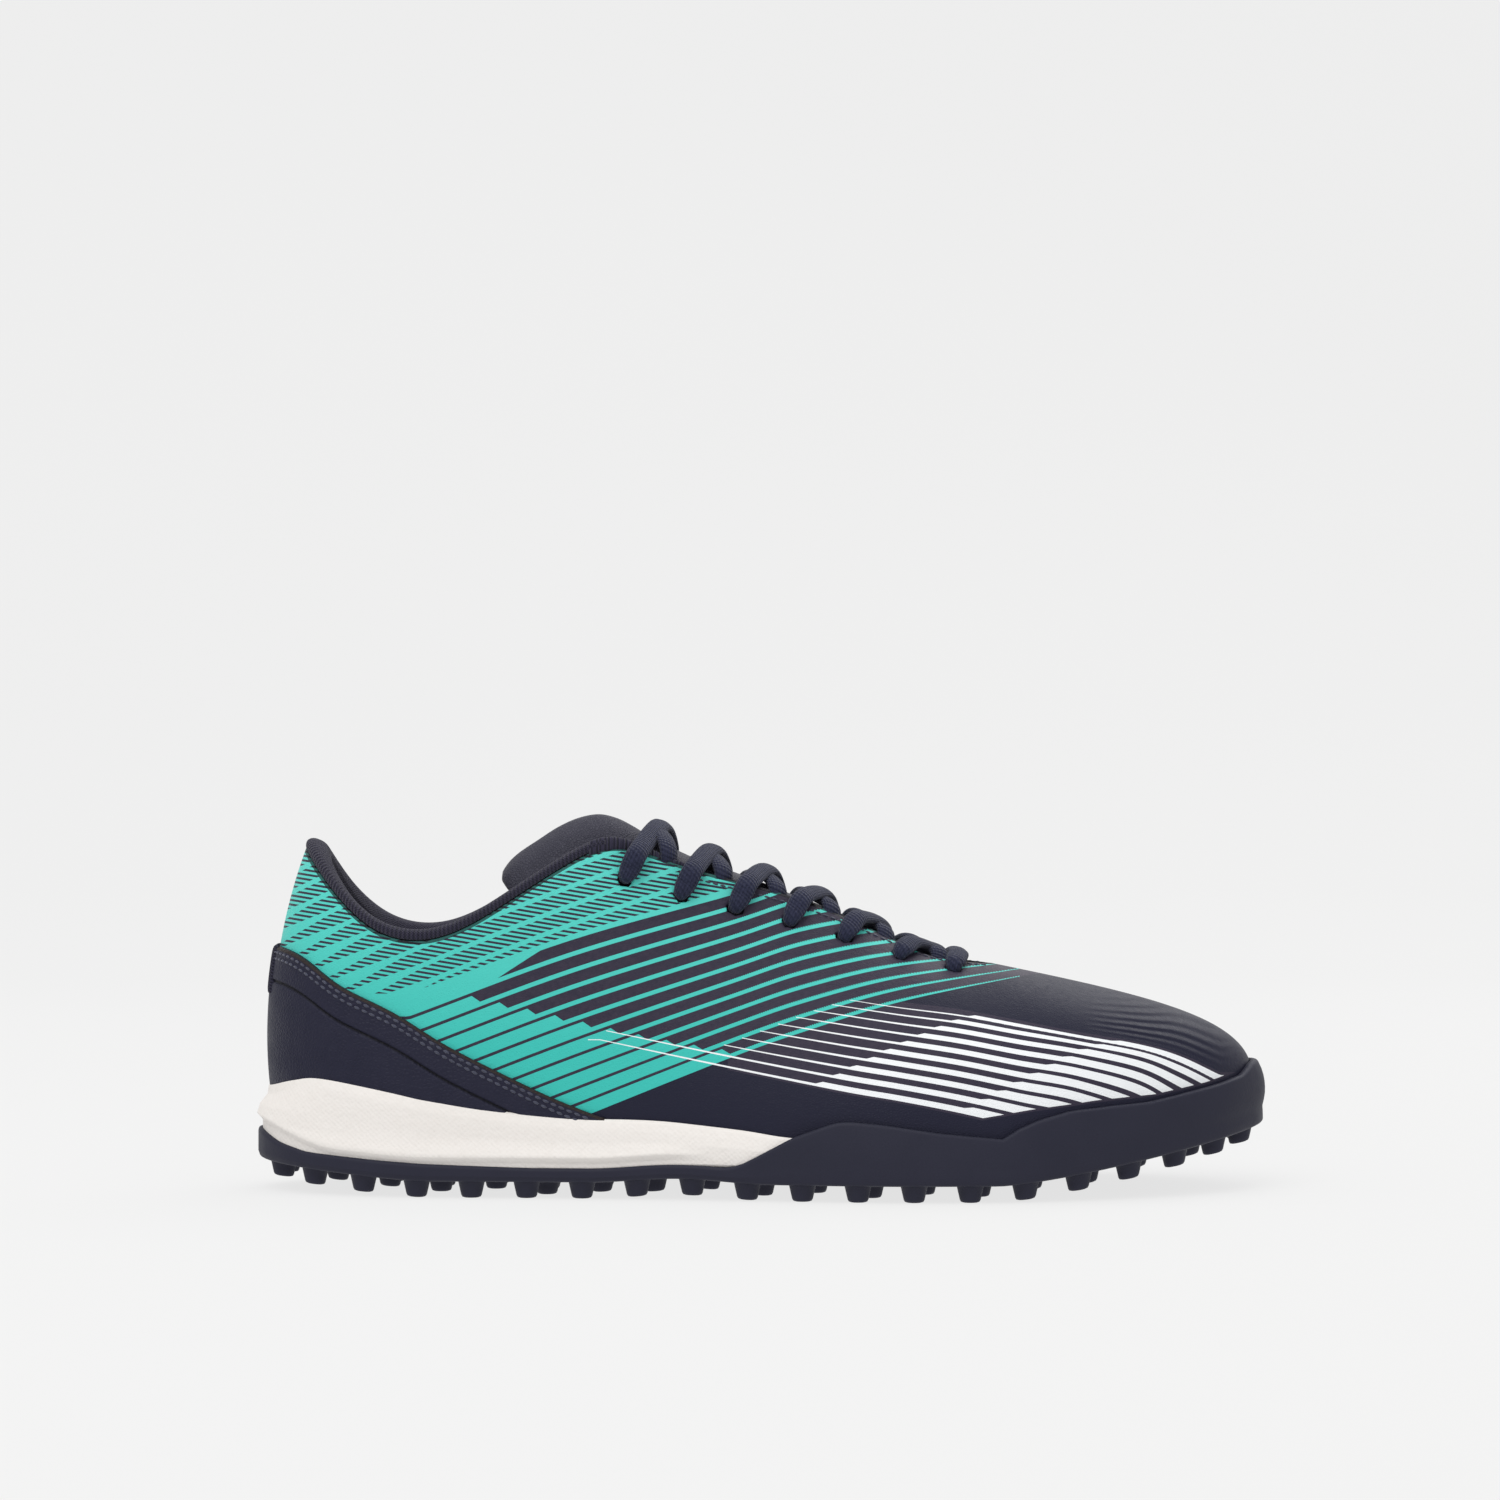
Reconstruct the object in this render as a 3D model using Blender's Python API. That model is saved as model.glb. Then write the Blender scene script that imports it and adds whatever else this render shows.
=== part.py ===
"""Turf football shoe for the right foot, empty and laced, standing on its studs.

Metres, +X to the toe, +Y to the inner (medial) side, +Z up. The origin lies on the floor under
the middle of the sole. The upper is a wall carried round the foot's outline: each section of it
is a cubic curve from the feather line, where it meets the sole, up to the collar or the throat.
Sole, overlay, padding, tongue and laces are worked out from that same wall.
"""
import math

import bmesh
import bpy
import numpy as np

# Driving sizes of the shoe
LENGTH = 0.290            # outsole, heel to toe
BALL_WIDTH = 0.0936       # feather line, ball joint to ball joint
HEEL_HEIGHT = 0.0975      # floor to the top of the heel, under its binding
INSTEP_HEIGHT = 0.0980    # floor to the front corners of the collar, under the binding
WALL = 0.0018             # upper, with its lining
GAP = 0.0003              # between pieces that touch
FIT = 0.0004              # between the upper and the curved walls round it

# Sole
HEEL_REACH = 0.0062       # outsole behind the feather line
TOE_REACH = 0.0058        # outsole ahead of the feather line
SIDE_REACH = 0.0042       # outsole beside the feather line
STUD_HEIGHT = 0.0047
STUD_BASE = 0.0075        # diameter at the sole
STUD_TIP = 0.0058         # diameter at the floor
STUD_INSET = 0.0004       # stud's foot to the rounded edge of the outsole's bottom
STUD_ROOT = 0.0016        # how deep a stud is sunk in the outsole
STUD_PITCH = 0.0156
STUD_SIDES = 6
SEAT_HEIGHT = 0.0073      # floor to the bed of the midsole
FOREFOOT_STACK = 0.0088   # floor to the insole's bed under the ball
HEEL_STACK = 0.0155       # floor to the insole's bed under the heel
HEEL_SPRING = 0.0050      # lift of the outsole at its back end
TOE_SPRING = 0.0150       # lift of the outsole at its front end
ARCH_LIFT = 0.0013
SPRING_POWER = 1.3
RAND_THICKNESS = 0.0025   # outsole's side where it hugs the upper
RAND_HEIGHT = 0.0225      # highest point of the outsole's side above its own bottom
MIDSOLE_HEIGHT = 0.0309   # highest point of the foam above the outsole's bottom
LIP_STEP = 0.0013         # foam inside the outsole's lip
FOAM_EDGE = 0.0018        # thickness of the foam's top edge
EDGE_ROUND = 0.0012
INSOLE_THICKNESS = 0.0035

# Padding, overlay, tongue and laces
PAD_THICKNESS = 0.0058
PAD_DEPTH = 0.024
PAD_ROLL = 0.0036         # binding above the upper's edge
OVERLAY = 0.0011
TONGUE_THICKNESS = 0.0030
TONGUE_CLEARANCE = 0.0008
TONGUE_WING = 0.011       # how far the tongue reaches under each facing
TONGUE_DOME = 0.24        # arch's handles, share of the throat's width
TONGUE_SIDE = 0.0012      # tongue's arch starts this far under the throat's edge
COLLAR_END = 0.345        # along: where the padding stops at the throat
COLLAR_END_SIZE = 0.5
LACE_WIDTH = 0.0060
LACE_THICKNESS = 0.0026
LACE_CLEARANCE = 0.0008
LACE_INSET = 0.0012       # strand to the facing that it rises beside
LACE_SPREAD = 0.0036      # strands to either side of their eyelet, at the throat's edge
LACE_SIDES = 6
LACE_STEPS = 3            # steps in each span of a strand
EYELET = 0.0042
EYELET_INSET = 0.0085     # hole's middle to the throat's edge
EYELET_COUNT = 7
EYELET_SPAN = (0.366, 0.687)  # along: first and last eyelet

# Fineness of the faceted surfaces
COLUMNS = 66              # sections round the whole outline
ROWS = 10                 # points up each section
FINE = 8                  # samples between two knots of a spline

# Sections of the upper, one row each. along: feather point, share of the feather's length;
# lateral, medial: its half-widths, share of the ball width; edge_along, edge_half, edge_top: the
# collar or throat above it, shares of length, ball width and height; bulge and rise: handle at
# the feather; reach and drop: handle at the edge (shares of ball width and instep height).
SECTION_COLUMNS = ("along", "lateral", "medial", "edge_along", "edge_half", "edge_top",
                   "bulge", "rise", "reach", "drop")
SECTIONS = (
    (0.000, 0.000, 0.000, 0.027, 0.000, 1.000, 0.053, 0.265, 0.091, 0.235),
    (0.045, 0.219, 0.219, 0.056, 0.192, 0.892, 0.048, 0.255, 0.064, 0.224),
    (0.100, 0.294, 0.294, 0.103, 0.267, 0.769, 0.037, 0.224, 0.032, 0.184),
    (0.165, 0.331, 0.331, 0.167, 0.292, 0.741, 0.032, 0.204, 0.027, 0.173),
    (0.240, 0.347, 0.342, 0.240, 0.283, 0.843, 0.032, 0.224, 0.032, 0.214),
    (0.300, 0.360, 0.334, 0.297, 0.256, 0.945, 0.032, 0.265, 0.043, 0.265),
    (0.355, 0.376, 0.326, 0.349, 0.224, 1.000, 0.032, 0.286, 0.064, 0.296),
    (0.410, 0.397, 0.320, 0.406, 0.196, 0.957, 0.032, 0.286, 0.085, 0.286),
    (0.465, 0.424, 0.324, 0.463, 0.163, 0.910, 0.032, 0.286, 0.118, 0.265),
    (0.550, 0.470, 0.363, 0.545, 0.123, 0.840, 0.032, 0.286, 0.171, 0.194),
    (0.630, 0.502, 0.427, 0.618, 0.105, 0.751, 0.032, 0.286, 0.235, 0.122),
    (0.700, 0.499, 0.481, 0.662, 0.096, 0.693, 0.027, 0.276, 0.278, 0.082),
    (0.755, 0.483, 0.499, 0.691, 0.085, 0.671, 0.027, 0.265, 0.310, 0.071),
    (0.810, 0.441, 0.495, 0.712, 0.069, 0.663, 0.032, 0.270, 0.358, 0.070),
    (0.865, 0.377, 0.459, 0.726, 0.051, 0.659, 0.043, 0.268, 0.416, 0.082),
    (0.920, 0.278, 0.393, 0.733, 0.032, 0.657, 0.064, 0.258, 0.486, 0.098),
    (0.965, 0.155, 0.299, 0.736, 0.015, 0.657, 0.096, 0.245, 0.556, 0.112),
    (1.000, -0.075, 0.075, 0.737, 0.000, 0.657, 0.118, 0.235, 0.598, 0.118),
)

# Top edge of the outsole's side: along (share of LENGTH from the back), height (share of
# RAND_HEIGHT above the outsole's bottom)
RAND_TOP = (
    (0.000, 0.600), (0.024, 0.480), (0.052, 0.422), (0.155, 0.435), (0.272, 0.387),
    (0.462, 0.387), (0.476, 0.430), (0.502, 0.620), (0.528, 0.800), (0.568, 0.985), (0.583, 1.000),
    (0.619, 0.956), (0.671, 0.858), (0.722, 0.796), (0.730, 0.778), (0.747, 0.889),
    (0.768, 0.964), (0.800, 1.009), (0.840, 0.969), (0.879, 0.911), (0.953, 0.898),
    (0.979, 0.916), (0.992, 1.004), (1.000, 1.020),
)

# Top edge of the foam: along (share of LENGTH), height (share of MIDSOLE_HEIGHT)
MIDSOLE_TOP = (
    (0.000, 0.800), (0.019, 0.825), (0.048, 0.940), (0.076, 1.000), (0.134, 0.955),
    (0.183, 0.880), (0.231, 0.809), (0.300, 0.744), (0.362, 0.712), (0.431, 0.647),
    (0.486, 0.625), (0.528, 0.576), (0.600, 0.530),
)
# The foam's front end is one slanted face: along of its foot and of its top
MIDSOLE_FRONT = (0.500, 0.548)
MIDSOLE_FRONT_HEIGHTS = (0.0091, 0.0184)

# Top edge of the heel overlay: along (share of LENGTH), height (share of HEEL_HEIGHT)
OVERLAY_TOP = (
    (0.000, 0.715), (0.030, 0.710), (0.056, 0.680), (0.092, 0.604), (0.144, 0.528),
    (0.195, 0.436), (0.262, 0.338), (0.295, 0.292), (0.325, 0.256), (0.345, 0.234),
)

# Cut through the collar's padding, a row for each corner of it. down: below the upper's edge,
# share of PAD_DEPTH, or of PAD_ROLL above it; through: share of the wall and its fit; inward:
# share of PAD_THICKNESS
PAD_SECTION = (
    (-0.10, 0.00, 0.00), (-0.62, -0.20, 0.00), (-0.95, 0.40, 0.00), (-1.00, 1.00, 0.15),
    (-0.85, 1.00, 0.50), (-0.40, 1.00, 0.80), (0.08, 1.00, 1.00), (0.35, 1.00, 0.95),
    (0.68, 1.00, 0.60), (0.92, 1.00, 0.25), (1.00, 1.00, 0.00), (0.50, 1.00, 0.00),
    (-0.10, 1.00, 0.00),
)

# Free end of the tongue, a row for each rib across it. along: share of LENGTH; crown: its top,
# share of INSTEP_HEIGHT; half: half-width, share of BALL_WIDTH; droop: how far its sides hang,
# share of INSTEP_HEIGHT
TONGUE_END = (
    (0.388, 1.030, 0.166, 0.160),
    (0.372, 1.058, 0.164, 0.180),
    (0.356, 1.082, 0.164, 0.195),
    (0.338, 1.094, 0.166, 0.200),
    (0.318, 1.084, 0.170, 0.200),
    (0.298, 1.058, 0.174, 0.190),
    (0.278, 1.020, 0.170, 0.170),
    (0.259, 0.976, 0.152, 0.125),
    (0.243, 0.922, 0.108, 0.070),
)

NAVY = (0.020, 0.021, 0.046)
NAVY_TEXTILE = (0.022, 0.022, 0.042)
TEAL = (0.16, 0.62, 0.53)
FOAM_WHITE = (0.78, 0.74, 0.70)
RUBBER_NAVY = (0.030, 0.034, 0.072)

BACK = -LENGTH / 2
FEATHER_BACK = BACK + HEEL_REACH
FEATHER_LENGTH = LENGTH - HEEL_REACH - TOE_REACH


def closed_spline(knots, values, at):
    """Smooth closed curve: a periodic cubic spline through rows of values, read at the places at."""
    count = len(knots) - 1
    step = np.diff(knots)
    before = np.roll(step, 1)
    system = np.zeros((count, count))
    rows = np.arange(count)
    system[rows, rows] = 2 * (before + step)
    system[rows, (rows - 1) % count] += before
    system[rows, (rows + 1) % count] += step
    slope = (np.roll(values, -1, axis=0) - values) / step[:, None]
    bend = np.linalg.solve(system, 6 * (slope - np.roll(slope, 1, axis=0)))
    after = np.roll(bend, -1, axis=0)
    ahead = np.roll(values, -1, axis=0)
    span = np.clip(np.searchsorted(knots, at, side="right") - 1, 0, count - 1)
    near = (at - knots[span])[:, None]
    far = (knots[span + 1] - at)[:, None]
    width = step[span][:, None]
    cubic = (bend[span] * far ** 3 + after[span] * near ** 3) / (6 * width)
    line = (values[span] / width - bend[span] * width / 6) * far
    return cubic + line + (ahead[span] / width - after[span] * width / 6) * near


def ease(share):
    """Smooth step from 0 to 1 over a share that is held between 0 and 1."""
    share = np.clip(share, 0, 1)
    return share * share * (3 - 2 * share)


def lift(x):
    """Height of the stud tips over the floor: heel spring, a low arch and toe spring."""
    heel_start, toe_start = BACK + 0.169 * LENGTH, BACK + 0.726 * LENGTH
    heel = np.clip((heel_start - x) / (heel_start - BACK), 0, None) ** SPRING_POWER
    toe = np.clip((x - toe_start) / (-BACK - toe_start), 0, None) ** SPRING_POWER
    arch = np.clip((x - BACK) / LENGTH, 0.33, 0.51)
    hump = np.sin(math.pi * (arch - 0.33) / 0.18) ** 2
    return HEEL_SPRING * heel + TOE_SPRING * toe + ARCH_LIFT * hump


def bed(x):
    """Height of the bed under the insole, higher under the heel than under the ball."""
    forward = ease((x - BACK - 0.20 * LENGTH) / (0.32 * LENGTH))
    return lift(x) + HEEL_STACK + (FOREFOOT_STACK - HEEL_STACK) * forward


def seat(x):
    """Top of the outsole inside its rand: the foam's bed at the rear, the insole's in front."""
    forward = ease((x - BACK - 0.40 * LENGTH) / (0.10 * LENGTH))
    return lift(x) + SEAT_HEIGHT + (FOREFOOT_STACK - SEAT_HEIGHT) * forward


def table_height(table, scale, x):
    """Height from a table of shares, measured up from the stud tips at x."""
    shares = np.array(table)
    return lift(x) + scale * np.interp((x - BACK) / LENGTH, shares[:, 0], shares[:, 1])


def section_ring():
    """All columns of the section table, in metres, carried round the outline from heel to heel."""
    table = dict(zip(SECTION_COLUMNS, np.array(SECTIONS).T))
    top = HEEL_HEIGHT + (INSTEP_HEIGHT - HEEL_HEIGHT) * ease(table["along"] / 0.355)

    def side(width, sign):
        return np.stack([FEATHER_BACK + table["along"] * FEATHER_LENGTH,
                         sign * width * BALL_WIDTH,
                         FEATHER_BACK + table["edge_along"] * FEATHER_LENGTH,
                         sign * table["edge_half"] * BALL_WIDTH,
                         table["edge_top"] * top,
                         table["bulge"] * BALL_WIDTH,
                         table["rise"] * INSTEP_HEIGHT,
                         table["reach"] * BALL_WIDTH,
                         table["drop"] * INSTEP_HEIGHT], axis=1)

    ring = np.vstack([side(table["lateral"], -1), side(table["medial"], 1)[-2:0:-1]])
    chords = np.linalg.norm(np.diff(np.vstack([ring, ring[:1]])[:, :2], axis=0), axis=1)
    knots = np.concatenate([[0], np.cumsum(chords)])
    half = len(SECTIONS) - 1
    fine = np.linspace(0, knots[-1], FINE * len(ring) * 4 + 1)
    line = closed_spline(knots, ring, fine)
    run = np.concatenate([[0], np.cumsum(np.linalg.norm(np.diff(line[:, :2], axis=0), axis=1))])
    tip = np.interp(knots[half], fine, run)
    side_steps = COLUMNS // 2
    even = np.concatenate([np.linspace(0, tip, side_steps + 1)[:-1],
                           np.linspace(tip, run[-1], side_steps + 1)[:-1]])
    even_ring = closed_spline(knots, ring, np.interp(even, run, fine))
    middle = (even_ring[:, 1].max() + even_ring[:, 1].min()) / 2
    even_ring[:, [1, 3]] -= middle
    return even_ring


RING = section_ring()
OUTLINE = RING[:, :2]


def outline_normals():
    """Outward normals of the feather line, in plan."""
    along = np.roll(OUTLINE, -1, axis=0) - np.roll(OUTLINE, 1, axis=0)
    normal = np.stack([along[:, 1], -along[:, 0]], axis=1)
    return normal / np.linalg.norm(normal, axis=1)[:, None]


NORMALS = outline_normals()


def wall(shares):
    """Outer face of the upper, a row for each share from the feather (0) to the edge (1).

    Each column is a cubic curve. Its handle at the feather stands up and out along the
    outline's normal, and its handle at the edge lies down and out towards the feather.
    """
    foot = np.column_stack([OUTLINE, bed(OUTLINE[:, 0]) + GAP])
    edge = RING[:, 2:5]
    away = OUTLINE - edge[:, :2]
    away /= np.linalg.norm(away, axis=1)[:, None]
    first = foot + np.column_stack([NORMALS * RING[:, 5:6], RING[:, 6]])
    second = edge + np.column_stack([away * RING[:, 7:8], -RING[:, 8]])
    t = np.asarray(shares)[:, None, None]
    return (1 - t) ** 3 * foot + 3 * (1 - t) ** 2 * t * first + 3 * (1 - t) * t ** 2 * second + t ** 3 * edge


def face_normals(grid, closed_round=True):
    """Normals of a grid of rows (upwards) and columns (onwards, or round the closed outline)."""
    if closed_round:
        across = np.roll(grid, -1, axis=1) - np.roll(grid, 1, axis=1)
    else:
        across = np.gradient(grid, axis=1)
    upward = np.gradient(grid, axis=0)
    normal = np.cross(across, upward)
    return normal / np.linalg.norm(normal, axis=2)[:, :, None]


SAMPLES = np.linspace(0, 1, 161)
DENSE = wall(SAMPLES)
DENSE_NORMALS = face_normals(DENSE)


def skin(heights, out):
    """Points beside the upper's wall, one for each column: at the heights, out in plan by out."""
    points = np.empty((COLUMNS, 3))
    for column in range(COLUMNS):
        points[column] = [np.interp(heights[column], DENSE[:, column, 2], DENSE[:, column, axis])
                          for axis in range(3)]
    points[:, :2] += NORMALS * np.broadcast_to(out, COLUMNS)[:, None]
    points[:, 2] = heights
    return points


def material(name, colour, roughness, metallic=0.0):
    """Plain Principled finish of one material of the shoe."""
    made = bpy.data.materials.new(name)
    made.use_nodes = True
    shader = made.node_tree.nodes["Principled BSDF"]
    shader.inputs["Base Color"].default_value = (*colour, 1)
    shader.inputs["Roughness"].default_value = roughness
    shader.inputs["Metallic"].default_value = metallic
    return made


def add_object(name, points, faces, finish):
    """Mesh object with its faces turned outwards and its round parts shaded smooth."""
    mesh = bpy.data.meshes.new(name)
    mesh.from_pydata(np.asarray(points).reshape(-1, 3).tolist(), [], faces)
    work = bmesh.new()
    work.from_mesh(mesh)
    bmesh.ops.recalc_face_normals(work, faces=work.faces)
    work.to_mesh(mesh)
    work.free()
    mesh.shade_smooth()
    mesh.set_sharp_from_angle(angle=math.radians(40))
    if finish:
        mesh.materials.append(finish)
    made = bpy.data.objects.new(name, mesh)
    bpy.context.scene.collection.objects.link(made)
    return made


def grid_faces(rows, columns, wrap_rows=False, wrap_columns=False):
    """Quads of a grid of points whose rows and columns may close on themselves."""
    faces = []
    for row in range(rows if wrap_rows else rows - 1):
        for column in range(columns if wrap_columns else columns - 1):
            right, up = (column + 1) % columns, (row + 1) % rows
            faces.append((row * columns + column, row * columns + right,
                          up * columns + right, up * columns + column))
    return faces


def ladder_faces(first, columns):
    """Rungs that close a ring of points, each joining the two sides of the shoe."""
    faces = []
    for step in range(columns // 2):
        rung = [step, step + 1, columns - step - 1, (columns - step) % columns]
        faces.append(tuple(first + index for index in dict.fromkeys(rung)))
    return faces


def ring_solid(name, rings, finish):
    """Closed solid from rings of points, with a ladder of rungs over the first and the last."""
    count = len(rings)
    faces = grid_faces(count, COLUMNS, wrap_columns=True)
    faces += ladder_faces(0, COLUMNS) + ladder_faces((count - 1) * COLUMNS, COLUMNS)
    return add_object(name, rings, faces, finish)


def cut(target, cutter, operation="DIFFERENCE"):
    """Boolean of the target with a hidden cutter."""
    cutter.hide_render = True
    cutter.display_type = "WIRE"
    boolean = target.modifiers.new(cutter.name, "BOOLEAN")
    boolean.operation = operation
    boolean.object = cutter
    boolean.solver = "EXACT"


def outsole_reach():
    """How far the outsole stands out from the feather line: more at the back, less at the toe."""
    along = (OUTLINE[:, 0] - FEATHER_BACK) / FEATHER_LENGTH
    heel = (1 - ease(along / 0.10))
    toe = ease((along - 0.84) / 0.16)
    return SIDE_REACH + (HEEL_REACH - SIDE_REACH) * heel + (TOE_REACH - SIDE_REACH) * toe


def foam(name, grow, finish):
    """Midsole cup of the rear half: foam under the heel and a side that climbs the upper.

    grow enlarges it on every side, which makes the cutter for its bed in the outsole.
    """
    x = OUTLINE[:, 0]
    reach = outsole_reach()
    under = seat(x) - GAP / 3 - grow
    lip = lift(x) + 0.44 * RAND_HEIGHT + 0.30 * RAND_HEIGHT * (1 - ease((x - BACK) / (0.09 * LENGTH)))
    top = table_height(MIDSOLE_TOP, MIDSOLE_HEIGHT, x) + grow
    clear = FIT - grow
    base = bed(x) + grow
    inner_reach = reach - LIP_STEP
    proud = LIP_STEP * (1 - ease(((x - BACK) / LENGTH - 0.39) / 0.07))
    flank = lip + (top - lip) * 0.45
    profile = [skin(under, inner_reach - EDGE_ROUND + grow), skin(under + EDGE_ROUND, inner_reach + grow),
               skin(lip, inner_reach + grow), skin(lip + LIP_STEP * 1.4, inner_reach + proud + grow),
               skin(flank, inner_reach + grow), skin(top - 1.65 * FOAM_EDGE, 1.35 * FOAM_EDGE + grow),
               skin(top - 0.3 * FOAM_EDGE, FOAM_EDGE + grow), skin(top, 0.6 * FOAM_EDGE + grow / 2),
               skin(top - 0.1 * FOAM_EDGE, clear)]
    for share in (0.75, 0.5, 0.25, 0):
        profile.append(skin(base + (top - base) * share, clear))
    half = int(np.searchsorted(OUTLINE[:COLUMNS // 2, 0], BACK + 0.56 * LENGTH))
    order = np.arange(-half, half + 1) % COLUMNS
    grid = np.array(profile)[:, order]
    rows, columns = grid.shape[:2]
    faces = grid_faces(rows, columns)
    last = (rows - 1) * columns
    for step in range(half):
        faces.append((step, step + 1, columns - step - 2, columns - step - 1)
                     if step < half - 1 else (step, step + 1, columns - step - 1))
        faces.append(tuple(last + index for index in
                           ((step, step + 1, columns - step - 2, columns - step - 1)
                            if step < half - 1 else (step, step + 1, columns - step - 1))))
    faces.append(tuple([row * columns for row in range(rows)]
                       + [row * columns + columns - 1 for row in reversed(range(rows))]))
    return add_object(name, grid, faces, finish)


def front_wedge(name, shift):
    """Block ahead of the foam's slanted front end, which it cuts off."""
    (low, high), (foot, head) = MIDSOLE_FRONT_HEIGHTS, MIDSOLE_FRONT
    slope = (head - foot) * LENGTH / (high - low)
    start = BACK + foot * LENGTH + shift
    below, above = -LENGTH, LENGTH
    points = []
    for y in (-LENGTH, LENGTH):
        points += [(start + slope * (below - low), y, below), (2 * LENGTH, y, below),
                   (2 * LENGTH, y, above), (start + slope * (above - low), y, above)]
    faces = [(0, 1, 2, 3), (7, 6, 5, 4), (0, 4, 5, 1), (1, 5, 6, 2), (2, 6, 7, 3), (3, 7, 4, 0)]
    return add_object(name, points, faces, None)


def outsole_body(finish):
    """Rubber cup: bottom, rounded side, top edge and the wall that follows the upper inside."""
    x = OUTLINE[:, 0]
    reach = outsole_reach()
    top = table_height(RAND_TOP, RAND_HEIGHT, OUTLINE[:, 0] + NORMALS[:, 0] * reach)
    bottom = lift(x) + STUD_HEIGHT
    floor = seat(x)
    foot = np.column_stack([OUTLINE, np.zeros(COLUMNS)])
    out = np.column_stack([NORMALS, np.zeros(COLUMNS)])

    def beside(height, away):
        ring = foot + out * away[:, None]
        ring[:, 2] = height
        return ring

    hug = ease((x - BACK) / LENGTH / 0.08 - 6.5)
    upper_reach = reach + (RAND_THICKNESS - reach) * hug
    rings = [beside(bottom, reach - EDGE_ROUND * 1.5), beside(bottom + EDGE_ROUND, reach - EDGE_ROUND / 3),
             skin(bottom + 0.45 * (top - bottom), reach + (upper_reach - reach) * 0.4),
             skin(top - EDGE_ROUND * 0.8, upper_reach), skin(top, upper_reach - EDGE_ROUND * 0.8)]
    for share in (1, 0.75, 0.5, 0.25, 0):
        rings.append(skin(floor + (top - floor) * share, FIT))
    return ring_solid("outsole", rings, finish)


def stud_points():
    """Middles of the studs: a row along each side and staggered rows between them."""
    inset = STUD_BASE / 2 + EDGE_ROUND * 1.5 + STUD_INSET
    edge = OUTLINE + NORMALS * (outsole_reach() - inset)[:, None]
    loop = np.vstack([edge, edge[:1]])
    run = np.concatenate([[0], np.cumsum(np.linalg.norm(np.diff(loop, axis=0), axis=1))])
    count = round(run[-1] / STUD_PITCH)
    at = (np.arange(count) + 0.5) * run[-1] / count
    border = np.column_stack([np.interp(at, run, loop[:, axis]) for axis in (0, 1)])
    inner = []
    half = COLUMNS // 2
    lanes = round(LENGTH / STUD_PITCH)
    for lane in range(lanes):
        x = BACK + (lane + 0.5) * LENGTH / lanes
        low = np.interp(x, edge[:half, 0], edge[:half, 1]) + STUD_PITCH * 0.95
        high = np.interp(x, edge[:half:-1, 0], edge[:half:-1, 1]) - STUD_PITCH * 0.95
        number = int((high - low) // STUD_PITCH) + 1 if high > low else 0
        shift = 0.25 * STUD_PITCH * (-1) ** lane if number > 1 else 0
        for place in range(number):
            stud = (x, (low + high) / 2 + shift + (place - (number - 1) / 2) * STUD_PITCH)
            if np.linalg.norm(border - stud, axis=1).min() > 1.3 * STUD_BASE:
                inner.append(stud)
    return np.vstack([border, inner])


def add_studs(body):
    """Blunt cones joined to the outsole, their tips cut to the shoe's own springs."""
    turn = np.arange(STUD_SIDES) * 2 * math.pi / STUD_SIDES
    circle = np.column_stack([np.cos(turn), np.sin(turn)])
    points, faces = [], []
    for x, y in stud_points():
        first = len(points)
        for radius, up in ((STUD_TIP / 2, 0), (STUD_BASE / 2, STUD_HEIGHT + STUD_ROOT)):
            plan = circle * radius + (x, y)
            points += [(px, py, float(lift(px)) + up) for px, py in plan]
        faces.append(tuple(first + index for index in reversed(range(STUD_SIDES))))
        faces.append(tuple(first + STUD_SIDES + index for index in range(STUD_SIDES)))
        for index in range(STUD_SIDES):
            after = (index + 1) % STUD_SIDES
            faces.append((first + index, first + after, first + STUD_SIDES + after,
                          first + STUD_SIDES + index))
    cut(body, add_object("stud_joiner", points, faces, None), "UNION")


def sole(rubber, white):
    """Outsole with its studs and the foam midsole that sits in it."""
    body = outsole_body(rubber)
    room = foam("foam_room", GAP, None)
    cut(room, front_wedge("room_front", GAP))
    cut(body, room)
    add_studs(body)
    midsole = foam("midsole", 0.0, white)
    cut(midsole, front_wedge("foam_front", 0.0))


def insole(finish):
    """Sock liner that lies on the bed inside the upper."""
    x = OUTLINE[:, 0]
    level = bed(x) + GAP
    foot = np.column_stack([OUTLINE, level])
    out = np.column_stack([NORMALS, np.zeros(COLUMNS)])
    near, thick = WALL + 2 * GAP, INSOLE_THICKNESS
    rings = []
    for inward, up in ((near, 0), (near, 0.8 * thick), (near + 0.2 * thick, thick)):
        ring = foot - out * inward
        ring[:, 2] += up
        rings.append(ring)
    ring_solid("insole", rings, finish)


def shell(name, outer, inner, finish, closed_round):
    """Solid between two grids of the same size, joined along their edges."""
    loop = np.concatenate([outer, inner[::-1]])
    rows, columns = loop.shape[:2]
    faces = grid_faces(rows, columns, wrap_rows=True, wrap_columns=closed_round)
    if not closed_round:
        for column in (0, columns - 1):
            for row in range(len(outer) - 1):
                faces.append((row * columns + column, (row + 1) * columns + column,
                              (rows - 2 - row) * columns + column, (rows - 1 - row) * columns + column))
    return add_object(name, loop, faces, finish)


def upper(finish):
    """The upper: one wall round the foot, open at the collar, at the throat and underneath."""
    outer = wall(np.linspace(0, 1, ROWS))
    inner = outer - face_normals(outer) * WALL
    inner[0, :, 2] = outer[0, :, 2]
    punch_eyelets(shell("upper", outer, inner, finish, closed_round=True))


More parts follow.
